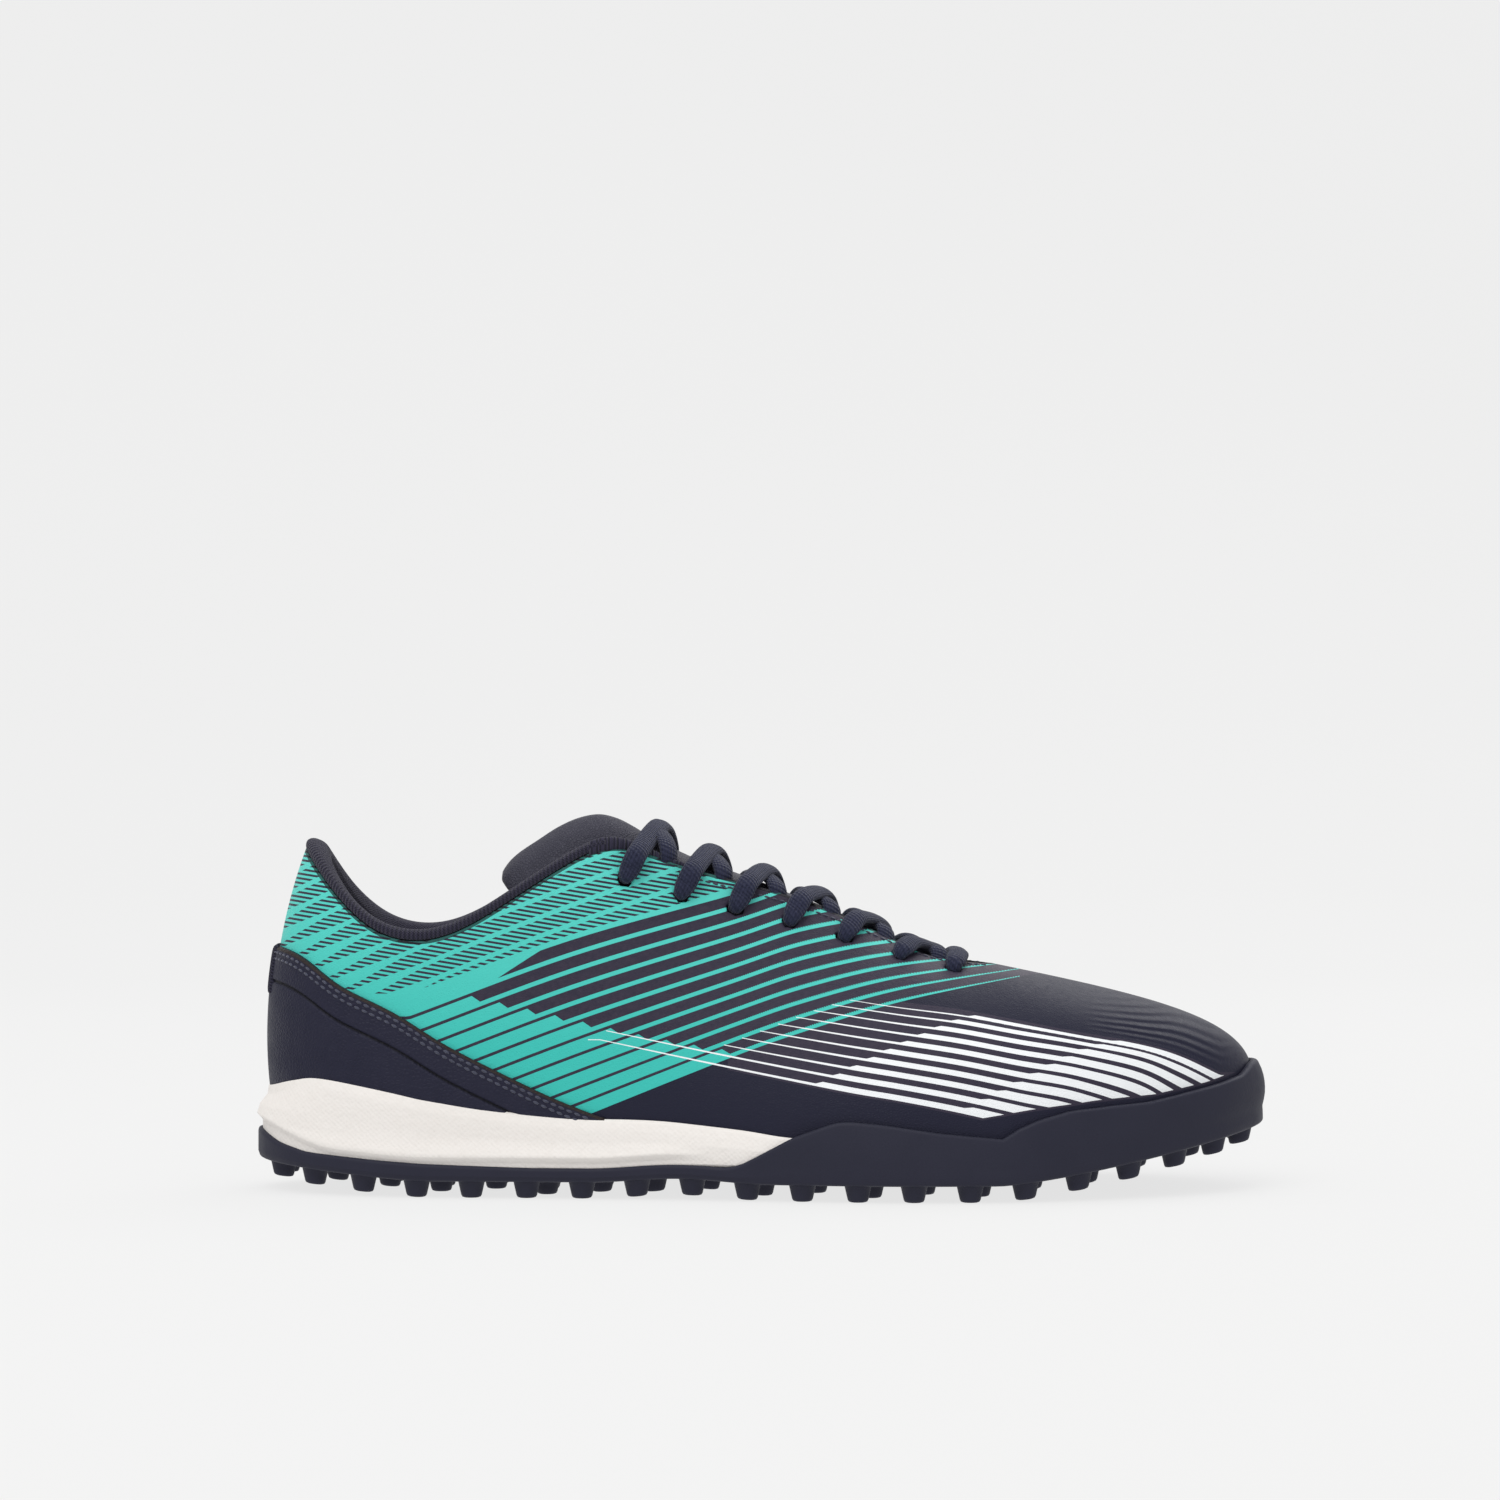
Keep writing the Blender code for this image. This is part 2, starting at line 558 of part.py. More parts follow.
def inside(depth, inward):
    """Points under the collar or throat edge, one for each column.

    depth runs down the wall's outer face from the edge, or on past the edge where it is
    negative; inward goes from there into the shoe along the wall's normal.
    """
    depth, inward = np.broadcast_to(depth, COLUMNS), np.broadcast_to(inward, COLUMNS)
    steps = np.linalg.norm(np.diff(DENSE, axis=0), axis=2)
    from_edge = np.vstack([np.cumsum(steps[::-1], axis=0)[::-1], np.zeros(COLUMNS)])
    points = np.empty((COLUMNS, 3))
    for column in range(COLUMNS):
        run = from_edge[::-1, column]
        here = [np.interp(depth[column], run, DENSE[::-1, column, axis]) for axis in range(3)]
        normal = np.array([np.interp(depth[column], run, DENSE_NORMALS[::-1, column, axis])
                           for axis in range(3)])
        past = DENSE[-1, column] - DENSE[-2, column]
        past = past / np.linalg.norm(past) * max(-depth[column], 0)
        points[column] = here + past - normal / np.linalg.norm(normal) * inward[column]
    return points


def heel_counter(finish):
    """Overlay round the heel: a shell over the upper, from the foam's edge to its own top edge."""
    half = int(np.searchsorted(OUTLINE[:COLUMNS // 2, 0], BACK + OVERLAY_TOP[-1][0] * LENGTH))
    order = np.arange(-half, half + 1) % COLUMNS
    x = OUTLINE[:, 0]
    low = table_height(MIDSOLE_TOP, MIDSOLE_HEIGHT, x) + GAP
    shares = np.array(OVERLAY_TOP)
    high = HEEL_HEIGHT * np.interp((x - BACK) / LENGTH, shares[:, 0], shares[:, 1])
    rows = np.linspace(0, 1, 6)[:, None]
    levels = low + (np.maximum(high, low + OVERLAY) - low) * rows
    inner = np.array([skin(level, FIT) for level in levels])
    outer = np.array([skin(level, FIT + OVERLAY) for level in levels])
    shell("heel_counter", outer[:, order], inner[:, order], finish, closed_round=False)


def collar(finish):
    """Padded binding that rolls over the collar's edge and lines it inside, up to the throat."""
    half = int(np.searchsorted(RING[:COLUMNS // 2, 2], BACK + COLLAR_END * LENGTH))
    order = np.arange(-half, half + 1) % COLUMNS
    along = (RING[:, 2] - BACK) / LENGTH
    plump = 1 - (1 - COLLAR_END_SIZE) * ease((along - 0.22) / (COLLAR_END - 0.22))
    rings = []
    for down, wall_share, pad_share in PAD_SECTION:
        depth = down * (PAD_DEPTH * plump if down > 0 else PAD_ROLL)
        rings.append(inside(depth, wall_share * (WALL + FIT) + pad_share * PAD_THICKNESS * plump))
    grid = np.array(rings)[:, order]
    rows, columns = grid.shape[:2]
    faces = grid_faces(rows, columns, wrap_rows=True)
    for column in (0, columns - 1):
        faces.append(tuple(row * columns + column for row in range(rows)))
    add_object("collar", grid, faces, finish)


def tongue_ribs():
    """Top face of the tongue, a row for each rib across it, from under the vamp to its free end.

    Under the laces a rib hangs from the inside of the two facings and arches between them.
    Past the throat the ribs follow the table of the free end.
    """
    inward = WALL + TONGUE_CLEARANCE
    lines = [inside(depth, inward) for depth in (TONGUE_WING, TONGUE_WING / 2, TONGUE_SIDE)]
    lift_line = inside(-TONGUE_WING, inward) - inside(0, inward)
    lift_line /= np.linalg.norm(lift_line, axis=1)[:, None]
    ribs = []
    edge_x = RING[:, 2]
    for column in range(COLUMNS // 2, 0, -1):
        other = (COLUMNS - column) % COLUMNS
        if not BACK + 0.405 * LENGTH < edge_x[column] < BACK + 0.712 * LENGTH:
            continue
        near, far = lines[2][column], lines[2][other]
        reach = np.linalg.norm(far - near) * TONGUE_DOME
        arch = []
        for t in np.linspace(0, 1, 7)[1:-1]:
            arch.append((1 - t) ** 3 * near + 3 * (1 - t) ** 2 * t * (near + lift_line[column] * reach)
                        + 3 * (1 - t) * t ** 2 * (far + lift_line[other] * reach) + t ** 3 * far)
        ribs.append([lines[0][column], lines[1][column], near, *arch, far,
                     lines[1][other], lines[0][other]])
    shares = np.array([-1, -0.95, -0.86, -0.62, -0.32, 0, 0.32, 0.62, 0.86, 0.95, 1])
    for along, crown, half, droop in TONGUE_END:
        sides = shares * half * BALL_WIDTH
        tops = INSTEP_HEIGHT * (crown - droop * np.abs(shares) ** 3)
        ribs.append(np.column_stack([np.full(len(shares), BACK + along * LENGTH), sides, tops]))
    return np.array(ribs)


def tongue(finish):
    """Padded tongue: one sheet from under the vamp to its free end above the collar."""
    top = tongue_ribs()
    normals = face_normals(top, closed_round=False)
    normals *= np.sign(normals[:, 5:6, 2:3])
    shell("tongue", top, top - normals * TONGUE_THICKNESS, finish, closed_round=False)


def eyelet_places(side):
    """Middle and outward normal of each eyelet on one side: -1 lateral, 1 medial."""
    half = COLUMNS // 2
    order = np.arange(1, half) if side < 0 else np.arange(COLUMNS - 1, half, -1)
    middles = inside(EYELET_INSET, 0)[order]
    normals = middles - inside(EYELET_INSET, WALL)[order]
    at = BACK + LENGTH * np.linspace(*EYELET_SPAN, EYELET_COUNT)
    places = []
    for x in at:
        middle = np.array([np.interp(x, middles[:, 0], middles[:, axis]) for axis in range(3)])
        normal = np.array([np.interp(x, middles[:, 0], normals[:, axis]) for axis in range(3)])
        places.append((middle, normal / np.linalg.norm(normal)))
    return places


def punch_eyelets(body):
    """Round holes through both facings."""
    turn = np.arange(8) * 2 * math.pi / 8
    points, faces = [], []
    for side in (-1, 1):
        for middle, normal in eyelet_places(side):
            across = np.cross(normal, (1, 0, 0))
            across /= np.linalg.norm(across)
            other = np.cross(normal, across)
            circle = EYELET / 2 * (np.cos(turn)[:, None] * across + np.sin(turn)[:, None] * other)
            first = len(points)
            for end in (-2 * WALL, WALL):
                points += [tuple(point) for point in middle + circle + normal * end]
            faces.append(tuple(first + index for index in reversed(range(8))))
            faces.append(tuple(first + 8 + index for index in range(8)))
            faces += [(first + index, first + (index + 1) % 8, first + 8 + (index + 1) % 8, first + 8 + index)
                      for index in range(8)]
    cut(body, add_object("eyelet_punch", points, faces, None))


def rim_point(side, x):
    """Edge of the throat on one side, -1 lateral or 1 medial, where it passes x, with its normal."""
    half = COLUMNS // 2
    order = np.arange(1, half) if side < 0 else np.arange(COLUMNS - 1, half, -1)
    rim, normals = DENSE[-1, order], DENSE_NORMALS[-1, order]
    point = np.array([np.interp(x, rim[:, 0], rim[:, axis]) for axis in range(3)])
    normal = np.array([np.interp(x, rim[:, 0], normals[:, axis]) for axis in range(3)])
    return point, normal / np.linalg.norm(normal)


def crown(x):
    """Top of the tongue in the middle of the throat at x, and the normal there."""
    ribs = tongue_ribs()
    middle = ribs[np.argsort(ribs[:, 5, 0]), 5]
    behind, height, ahead = np.interp((x - LACE_WIDTH / 2, x, x + LACE_WIDTH / 2),
                                      middle[:, 0], middle[:, 2])
    normal = np.array([behind - ahead, 0, LACE_WIDTH])
    return max(height, (behind + ahead) / 2), normal / np.linalg.norm(normal)


def catmull(points, per_span):
    """Smooth line through points, a Catmull-Rom curve with a few steps in each span."""
    points = np.array(points)
    padded = np.vstack([2 * points[0] - points[1], points, 2 * points[-1] - points[-2]])
    line = []
    for index in range(1, len(points)):
        a, b, c, d = padded[index - 1:index + 3]
        for t in np.arange(per_span) / per_span:
            line.append(0.5 * (2 * b + (c - a) * t + (2 * a - 5 * b + 4 * c - d) * t * t
                               + (3 * b - a - 3 * c + d) * t ** 3))
    return np.vstack([line, points[-1:]])


def lace_strand(points, normals):
    """Faces and points of one flat strand: an oval carried along a smooth line."""
    line = catmull(points, LACE_STEPS)
    up = catmull(normals, LACE_STEPS)
    ahead = np.gradient(line, axis=0)
    ahead /= np.linalg.norm(ahead, axis=1)[:, None]
    across = np.cross(ahead, up)
    across /= np.linalg.norm(across, axis=1)[:, None]
    up = np.cross(across, ahead)
    turn = np.arange(LACE_SIDES) * 2 * math.pi / LACE_SIDES + math.pi / LACE_SIDES
    oval = [line + across * LACE_WIDTH / 2 * math.cos(angle) + up * LACE_THICKNESS / 2 * math.sin(angle)
            for angle in turn]
    grid = np.array(oval).transpose(1, 0, 2)
    rows = len(grid)
    faces = grid_faces(rows, LACE_SIDES, wrap_columns=True)
    faces.append(tuple(range(LACE_SIDES)))
    faces.append(tuple(range(rows * LACE_SIDES - 1, (rows - 1) * LACE_SIDES - 1, -1)))
    return grid, faces


def lace_crossings(finish):
    """Laces between the facings: six crossings, and the bar at the toe end.

    In each crossing a strand rises in the throat beside one facing, crosses the other strand
    over the tongue and comes to rest on the opposite facing, at the eyelet behind.
    """
    ride = LACE_THICKNESS / 2 + LACE_CLEARANCE
    eyelets = {side: eyelet_places(side) for side in (-1, 1)}
    for index in range(EYELET_COUNT - 1):
        strands = []
        for side in (-1, 1):
            (hole, hole_normal), (ahead, _) = eyelets[-side][index], eyelets[side][index + 1]
            start, start_normal = rim_point(side, ahead[0] - LACE_SPREAD)
            start = start + (0, -side * (LACE_THICKNESS / 2 + LACE_INSET), 0)
            top, start_up = crown(start[0])
            start[2] = max(start[2], top - LACE_THICKNESS / 2) + ride * 0.6
            over, over_normal = rim_point(-side, hole[0] + LACE_SPREAD)
            middle_x = (start[0] + over[0]) / 2
            pile = LACE_THICKNESS * (0.80 if side > 0 else 0.0)
            height, up = crown(middle_x)
            middle = np.array([middle_x, 0, height]) + up * (ride + pile)
            middle[2] = max(middle[2], (start[2] + over[2]) / 2)
            stop = hole + (over - hole) / np.linalg.norm(over - hole) * EYELET * 0.6
            strands.append(([start, middle, over + over_normal * ride, stop + hole_normal * ride],
                            [start_up + (0, side * 0.2, 0), up, over_normal + (0, 0, 0.4), hole_normal]))
        join_strands("lace_crossing_%d" % (index + 1), strands, finish)
    ends = []
    for side in (-1, 1):
        hole, normal = eyelets[side][-1]
        rim, rim_normal = rim_point(side, hole[0] + 0.4 * LACE_SPREAD)
        stop = hole + (rim - hole) / np.linalg.norm(rim - hole) * EYELET * 0.6
        ends.append((stop + normal * ride, normal, rim + rim_normal * ride, rim_normal))
    middle = (ends[0][2] + ends[1][2]) / 2
    height, up = crown(middle[0])
    middle[2] = max(height + ride, middle[2])
    bar = ([ends[0][0], ends[0][2], middle, ends[1][2], ends[1][0]],
           [ends[0][1], ends[0][3], up, ends[1][3], ends[1][1]])
    join_strands("lace_bar", [bar], finish)


def join_strands(name, strands, finish):
    """One object from one strand, or from two that a Boolean joins where they cross."""
    made = [add_object(name if number == 0 else name + "_over", *lace_strand(*strand), finish)
            for number, strand in enumerate(strands)]
    if len(made) > 1:
        cut(made[0], made[1], "UNION")


def main():
    """Builds every piece of the shoe."""
    for old in list(bpy.data.objects):
        bpy.data.objects.remove(old)
    rubber = material("rubber", RUBBER_NAVY, 0.6)
    white = material("foam", FOAM_WHITE, 0.8)
    synthetic = material("synthetic", TEAL, 0.4)
    textile = material("textile", NAVY_TEXTILE, 0.9)
    leather = material("leather", NAVY, 0.6)
    sole(rubber, white)
    insole(textile)
    upper(synthetic)
    heel_counter(synthetic)
    collar(textile)
    tongue(leather)
    lace_crossings(textile)


main()
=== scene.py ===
"""Looks of a turf football shoe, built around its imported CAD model.

Metres, +X to the toe, +Y to the inner side, +Z up; the floor is z = 0.
"""
import math

import bmesh
import bpy
import numpy as np
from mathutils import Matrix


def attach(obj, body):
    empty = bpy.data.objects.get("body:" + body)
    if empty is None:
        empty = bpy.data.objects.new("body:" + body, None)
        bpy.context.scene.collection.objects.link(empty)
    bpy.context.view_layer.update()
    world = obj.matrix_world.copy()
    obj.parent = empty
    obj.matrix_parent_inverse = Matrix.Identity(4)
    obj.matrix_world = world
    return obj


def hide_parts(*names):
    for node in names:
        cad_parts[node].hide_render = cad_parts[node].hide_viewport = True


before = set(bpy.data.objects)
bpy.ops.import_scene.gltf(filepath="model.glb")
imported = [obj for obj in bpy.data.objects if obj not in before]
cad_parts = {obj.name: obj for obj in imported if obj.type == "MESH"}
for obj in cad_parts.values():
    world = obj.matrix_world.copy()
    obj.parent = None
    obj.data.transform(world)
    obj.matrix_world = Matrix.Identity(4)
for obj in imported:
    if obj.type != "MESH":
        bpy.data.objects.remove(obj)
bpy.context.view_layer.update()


# Studio. A level camera looks at the outer side of the shoe from 1.3 m; the floor runs up into a
# plain pale backdrop, and three large soft lights and an even sky leave one faint shadow.
def mesh_piece(name, points, quads, finish=None, fields=None):
    """Mesh from an array of points and an array of quads, with point fields by name."""
    mesh = bpy.data.meshes.new(name)
    faces = [tuple(dict.fromkeys(quad)) for quad in np.asarray(quads).tolist()]
    mesh.from_pydata(np.asarray(points, float).reshape(-1, 3).tolist(), [], faces)
    for field, values in (fields or {}).items():
        values = np.asarray(values, np.float32).reshape(-1, 3)
        mesh.attributes.new(field, "FLOAT_VECTOR", "POINT").data.foreach_set("vector", values.ravel())
    mesh.shade_smooth()
    if finish:
        mesh.materials.append(finish)
    piece = bpy.data.objects.new(name, mesh)
    bpy.context.scene.collection.objects.link(piece)
    return piece


def sheet_quads(rows, columns, round_columns=False, round_rows=False):
    """Quads of a grid of points, counted row by row; either way may close on itself."""
    row = np.arange(rows if round_rows else rows - 1)[:, None]
    column = np.arange(columns if round_columns else columns - 1)[None, :]
    right, up = (column + 1) % columns, (row + 1) % rows
    corners = (row * columns + column, row * columns + right, up * columns + right, up * columns + column)
    return np.stack(np.broadcast_arrays(*corners), axis=-1).reshape(-1, 4)


class Reading:
    """One output in a material. Arithmetic and comparison on it add the Math nodes."""

    def __init__(self, finish, output):
        self.finish, self.output = finish, output

    def math(self, operation, *terms):
        return self.finish.node("ShaderNodeMath", {"operation": operation}, dict(enumerate(terms)))

    def __add__(self, other):
        return self.math("ADD", self, other)

    def __radd__(self, other):
        return self.math("ADD", other, self)

    def __sub__(self, other):
        return self.math("SUBTRACT", self, other)

    def __rsub__(self, other):
        return self.math("SUBTRACT", other, self)

    def __mul__(self, other):
        return self.math("MULTIPLY", self, other)

    def __rmul__(self, other):
        return self.math("MULTIPLY", other, self)

    def __truediv__(self, other):
        return self.math("DIVIDE", self, other)

    def __gt__(self, other):
        return self.math("GREATER_THAN", self, other)

    def __lt__(self, other):
        return self.math("LESS_THAN", self, other)

    def fraction(self):
        return self.math("FRACT", self)

    def whole(self):
        return self.math("FLOOR", self)

    def size(self):
        return self.math("ABSOLUTE", self)

    def least(self, other):
        return self.math("MINIMUM", self, other)

    def most(self, other):
        return self.math("MAXIMUM", self, other)

    def wave(self, period):
        """Sine whose full turn is one period of the reading."""
        return self.math("SINE", self * (2 * math.pi / period))

    def ramp(self, start, end, low=0.0, high=1.0):
        """Straight ramp from low to high between two readings, held outside them."""
        sockets = {"Value": self, "From Min": start, "From Max": end, "To Min": low, "To Max": high}
        return self.finish.node("ShaderNodeMapRange", {"clamp": True}, sockets)


class Finish:
    """A material in the making, with its Principled shader."""

    def __init__(self, name, **constants):
        self.material = bpy.data.materials.new(name)
        self.material.use_nodes = True
        self.tree = self.material.node_tree
        self.shader = self.tree.nodes["Principled BSDF"]
        for socket, value in constants.items():
            self.shader.inputs[socket.replace("_", " ")].default_value = value

    def feed(self, socket, value):
        """Links a reading to a socket, or sets its value; a colour is given its alpha of 1."""
        if isinstance(value, Reading):
            self.tree.links.new(value.output, socket)
        elif isinstance(value, tuple) and socket.type == "RGBA":
            socket.default_value = (*value, 1)
        else:
            socket.default_value = value

    def node(self, kind, settings, sockets, output=0):
        """Adds any node: its settings first, then the values or links of its sockets."""
        made = self.tree.nodes.new(kind)
        for setting, value in settings.items():
            setattr(made, setting, value)
        for socket, value in sockets.items():
            self.feed(made.inputs[socket], value)
        return Reading(self, made.outputs[output])

    def place(self):
        return self.node("ShaderNodeTexCoord", {}, {}, "Object")

    def field(self, name):
        """Three readings of a point field."""
        vector = self.node("ShaderNodeAttribute", {"attribute_name": name}, {}, "Vector")
        return [self.node("ShaderNodeSeparateXYZ", {}, {0: vector}, axis) for axis in range(3)]

    def noise(self, scale, detail=2.0):
        sockets = {"Vector": self.place(), "Scale": scale, "Detail": detail}
        return self.node("ShaderNodeTexNoise", {}, sockets)

    def grain(self, scale):
        """Cells of a leather grain: 0 along their creases."""
        sockets = {"Vector": self.place(), "Scale": scale}
        return self.node("ShaderNodeTexVoronoi", {"feature": "DISTANCE_TO_EDGE"}, sockets)

    def mix(self, share, one, other):
        """Colour between two colours."""
        sockets = {0: share, 6: one, 7: other}
        return self.node("ShaderNodeMix", {"data_type": "RGBA"}, sockets, 2)

    def relief(self, height, depth):
        """Bump whose height of 1 is as deep as depth, in metres."""
        bump = self.node("ShaderNodeBump", {}, {"Strength": 1.0, "Distance": depth, "Height": height})
        self.feed(self.shader.inputs["Normal"], bump)

    def set(self, **readings):
        for socket, value in readings.items():
            self.feed(self.shader.inputs[socket.replace("_", " ")], value)


FLOOR_HALF = 3.0
SWEEP = ((-2.4, 0.0), (1.2, 0.0), (1.5, 0.04), (1.75, 0.16), (1.95, 0.38), (2.06, 0.70), (2.1, 1.1),
         (2.1, 3.0))
CAMERA_X, CAMERA_AWAY, CAMERA_HEIGHT = -0.0036, 1.3, 0.1257

paper = Finish("paper", Roughness=0.9, Specular_IOR_Level=0.0, Emission_Color=(1, 1, 1, 1),
               Emission_Strength=0.75)
paper.set(Base_Color=paper.mix(paper.noise(3.0) * 0.2, (0.11, 0.11, 0.109), (0.13, 0.13, 0.129)))
sweep = np.array(SWEEP)
backdrop_points = np.stack([np.stack([np.full(len(sweep), x), sweep[:, 0], sweep[:, 1]], axis=1)
                            for x in (-FLOOR_HALF, FLOOR_HALF)], axis=1)
backdrop = mesh_piece("backdrop", backdrop_points, sheet_quads(len(sweep), 2)[:, ::-1], paper.material)
bpy.context.scene.view_settings.view_transform = "Standard"


def soft_light(name, place, target, size, power):
    """Area light of a square size, turned to its target."""
    lamp = bpy.data.lights.new(name, "AREA")
    lamp.energy, lamp.size = power, size
    lamp_object = bpy.data.objects.new(name, lamp)
    lamp_object.location = place
    away = np.subtract(target, place)
    lamp_object.rotation_euler = (math.acos(-away[2] / np.linalg.norm(away)), 0,
                                  math.atan2(away[1], away[0]) - math.pi / 2)
    bpy.context.scene.collection.objects.link(lamp_object)


soft_light("key", (-0.5, -1.1, 1.5), (0, 0, 0.05), 1.2, 14)
soft_light("top", (0.1, 0.1, 1.7), (0, 0, 0.05), 1.6, 8)
soft_light("back", (0.6, 0.9, 1.2), (0, 0, 0.05), 1.0, 6)
sky = bpy.data.worlds.new("studio")
bpy.context.scene.world = sky
sky.use_nodes = True
sky.node_tree.nodes["Background"].inputs["Color"].default_value = (1, 1, 1, 1)
sky.node_tree.nodes["Background"].inputs["Strength"].default_value = 0.70

lens = bpy.data.cameras.new("camera")
lens.sensor_width, lens.lens = 36, 108.4
camera = bpy.data.objects.new("camera", lens)
camera.location = (CAMERA_X, -CAMERA_AWAY, CAMERA_HEIGHT)
camera.rotation_euler = (math.pi / 2, 0, 0)
bpy.context.scene.collection.objects.link(camera)
bpy.context.scene.camera = camera


# The last. Everything on the shoe is worked out from one wall round the foot, in the same sizes
# and sections as the CAD model, but on as many columns as a piece needs.
LENGTH, BALL_WIDTH, HEEL_HEIGHT, INSTEP_HEIGHT = 0.290, 0.0936, 0.0975, 0.0980
WALL, GAP, FIT, MERGED = 0.0018, 0.0003, 0.0004, 0.000001
HEEL_REACH, TOE_REACH, SIDE_REACH = 0.0062, 0.0058, 0.0042
HEEL_STACK, FOREFOOT_STACK, SEAT_HEIGHT = 0.0155, 0.0088, 0.0073
HEEL_SPRING, TOE_SPRING, SPRING_POWER, ARCH_LIFT = 0.0050, 0.0150, 1.3, 0.0013
BACK = -LENGTH / 2
FEATHER_BACK = BACK + HEEL_REACH
FEATHER_LENGTH = LENGTH - HEEL_REACH - TOE_REACH
# along, lateral, medial, edge_along, edge_half, edge_top, bulge, rise, reach, drop
SECTIONS = np.array((
    (0.000, 0.000, 0.000, 0.027, 0.000, 1.000, 0.053, 0.265, 0.091, 0.235),
    (0.045, 0.219, 0.219, 0.056, 0.192, 0.892, 0.048, 0.255, 0.064, 0.224),
    (0.100, 0.294, 0.294, 0.103, 0.267, 0.769, 0.037, 0.224, 0.032, 0.184),
    (0.165, 0.331, 0.331, 0.167, 0.292, 0.741, 0.032, 0.204, 0.027, 0.173),
    (0.240, 0.347, 0.342, 0.240, 0.283, 0.843, 0.032, 0.224, 0.032, 0.214),
    (0.300, 0.360, 0.334, 0.297, 0.256, 0.945, 0.032, 0.265, 0.043, 0.265),
    (0.355, 0.376, 0.326, 0.349, 0.224, 1.000, 0.032, 0.286, 0.064, 0.296),
    (0.410, 0.397, 0.320, 0.406, 0.196, 0.957, 0.032, 0.286, 0.085, 0.286),
    (0.465, 0.424, 0.324, 0.463, 0.163, 0.910, 0.032, 0.286, 0.118, 0.265),
    (0.550, 0.470, 0.363, 0.545, 0.123, 0.840, 0.032, 0.286, 0.171, 0.194),
    (0.630, 0.502, 0.427, 0.618, 0.105, 0.751, 0.032, 0.286, 0.235, 0.122),
    (0.700, 0.499, 0.481, 0.662, 0.096, 0.693, 0.027, 0.276, 0.278, 0.082),
    (0.755, 0.483, 0.499, 0.691, 0.085, 0.671, 0.027, 0.265, 0.310, 0.071),
    (0.810, 0.441, 0.495, 0.712, 0.069, 0.663, 0.032, 0.270, 0.358, 0.070),
    (0.865, 0.377, 0.459, 0.726, 0.051, 0.659, 0.043, 0.268, 0.416, 0.082),
    (0.920, 0.278, 0.393, 0.733, 0.032, 0.657, 0.064, 0.258, 0.486, 0.098),
    (0.965, 0.155, 0.299, 0.736, 0.015, 0.657, 0.096, 0.245, 0.556, 0.112),
    (1.000, -0.075, 0.075, 0.737, 0.000, 0.657, 0.118, 0.235, 0.598, 0.118),
))


def ease(share):
    """Smooth step: 3s^2 - 2s^3 of a share held between 0 and 1."""
    share = np.clip(share, 0, 1)
    return share * share * (3 - 2 * share)


def lift(x):
    """Stud tips over the floor: two springs rising as a power of the distance, and a low arch."""
    heel_start, toe_start = BACK + 0.169 * LENGTH, BACK + 0.726 * LENGTH
    heel = np.clip((heel_start - x) / (heel_start - BACK), 0, None) ** SPRING_POWER
    toe = np.clip((x - toe_start) / (-BACK - toe_start), 0, None) ** SPRING_POWER
    arch = np.clip((x - BACK) / LENGTH, 0.33, 0.51)
    return HEEL_SPRING * heel + TOE_SPRING * toe + ARCH_LIFT * np.sin(math.pi * (arch - 0.33) / 0.18) ** 2


def bed(x):
    """Bed under the insole: the springs, plus a stack that eases from heel to forefoot."""
    forward = ease((x - BACK - 0.20 * LENGTH) / (0.32 * LENGTH))
    return lift(x) + HEEL_STACK + (FOREFOOT_STACK - HEEL_STACK) * forward


def seat(x):
    """Top of the outsole inside its side."""
    forward = ease((x - BACK - 0.40 * LENGTH) / (0.10 * LENGTH))
    return lift(x) + SEAT_HEIGHT + (FOREFOOT_STACK - SEAT_HEIGHT) * forward


def distance_along(path):
    """Length of a path of points up to each of them."""
    return np.concatenate([[0], np.cumsum(np.linalg.norm(np.diff(path, axis=0), axis=1))])


def stacked(*fields):
    """Fields spread over one grid, as the last axis of one array."""
    return np.stack(np.broadcast_arrays(*fields), axis=-1)


def cubic(t, start, first, second, end):
    """Cubic curve (1-t)^3 a + 3(1-t)^2 t b + 3(1-t) t^2 c + t^3 d, from start to end by two handles."""
    return ((1 - t) ** 3 * start + 3 * (1 - t) ** 2 * t * first
            + 3 * (1 - t) * t ** 2 * second + t ** 3 * end)


def closed_spline(knots, values, at):
    """Periodic cubic spline through rows of values: second derivatives from the usual cyclic system."""
    count = len(knots) - 1
    step = np.diff(knots)
    before = np.roll(step, 1)
    rows = np.arange(count)
    system = np.zeros((count, count))
    system[rows, rows] = 2 * (before + step)
    system[rows, (rows - 1) % count] += before
    system[rows, (rows + 1) % count] += step
    slope = (np.roll(values, -1, axis=0) - values) / step[:, None]
    bend = np.linalg.solve(system, 6 * (slope - np.roll(slope, 1, axis=0)))
    after, ahead = np.roll(bend, -1, axis=0), np.roll(values, -1, axis=0)
    span = np.clip(np.searchsorted(knots, at, side="right") - 1, 0, count - 1)
    near, far, width = (at - knots[span])[:, None], (knots[span + 1] - at)[:, None], step[span][:, None]
    return ((bend[span] * far ** 3 + after[span] * near ** 3) / (6 * width)
            + (values[span] / width - bend[span] * width / 6) * far
            + (ahead[span] / width - after[span] * width / 6) * near)


def unit(vectors):
    """Vectors of length one, along the last axis."""
    return vectors / np.linalg.norm(vectors, axis=-1, keepdims=True)


def face_normals(grid, closed_round=True):
    """Normals of a grid of rows upwards and columns onwards: across x upward."""
    if closed_round:
        across = np.roll(grid, -1, axis=1) - np.roll(grid, 1, axis=1)
    else:
        across = np.gradient(grid, axis=1)
    return unit(np.cross(across, np.gradient(grid, axis=0)))


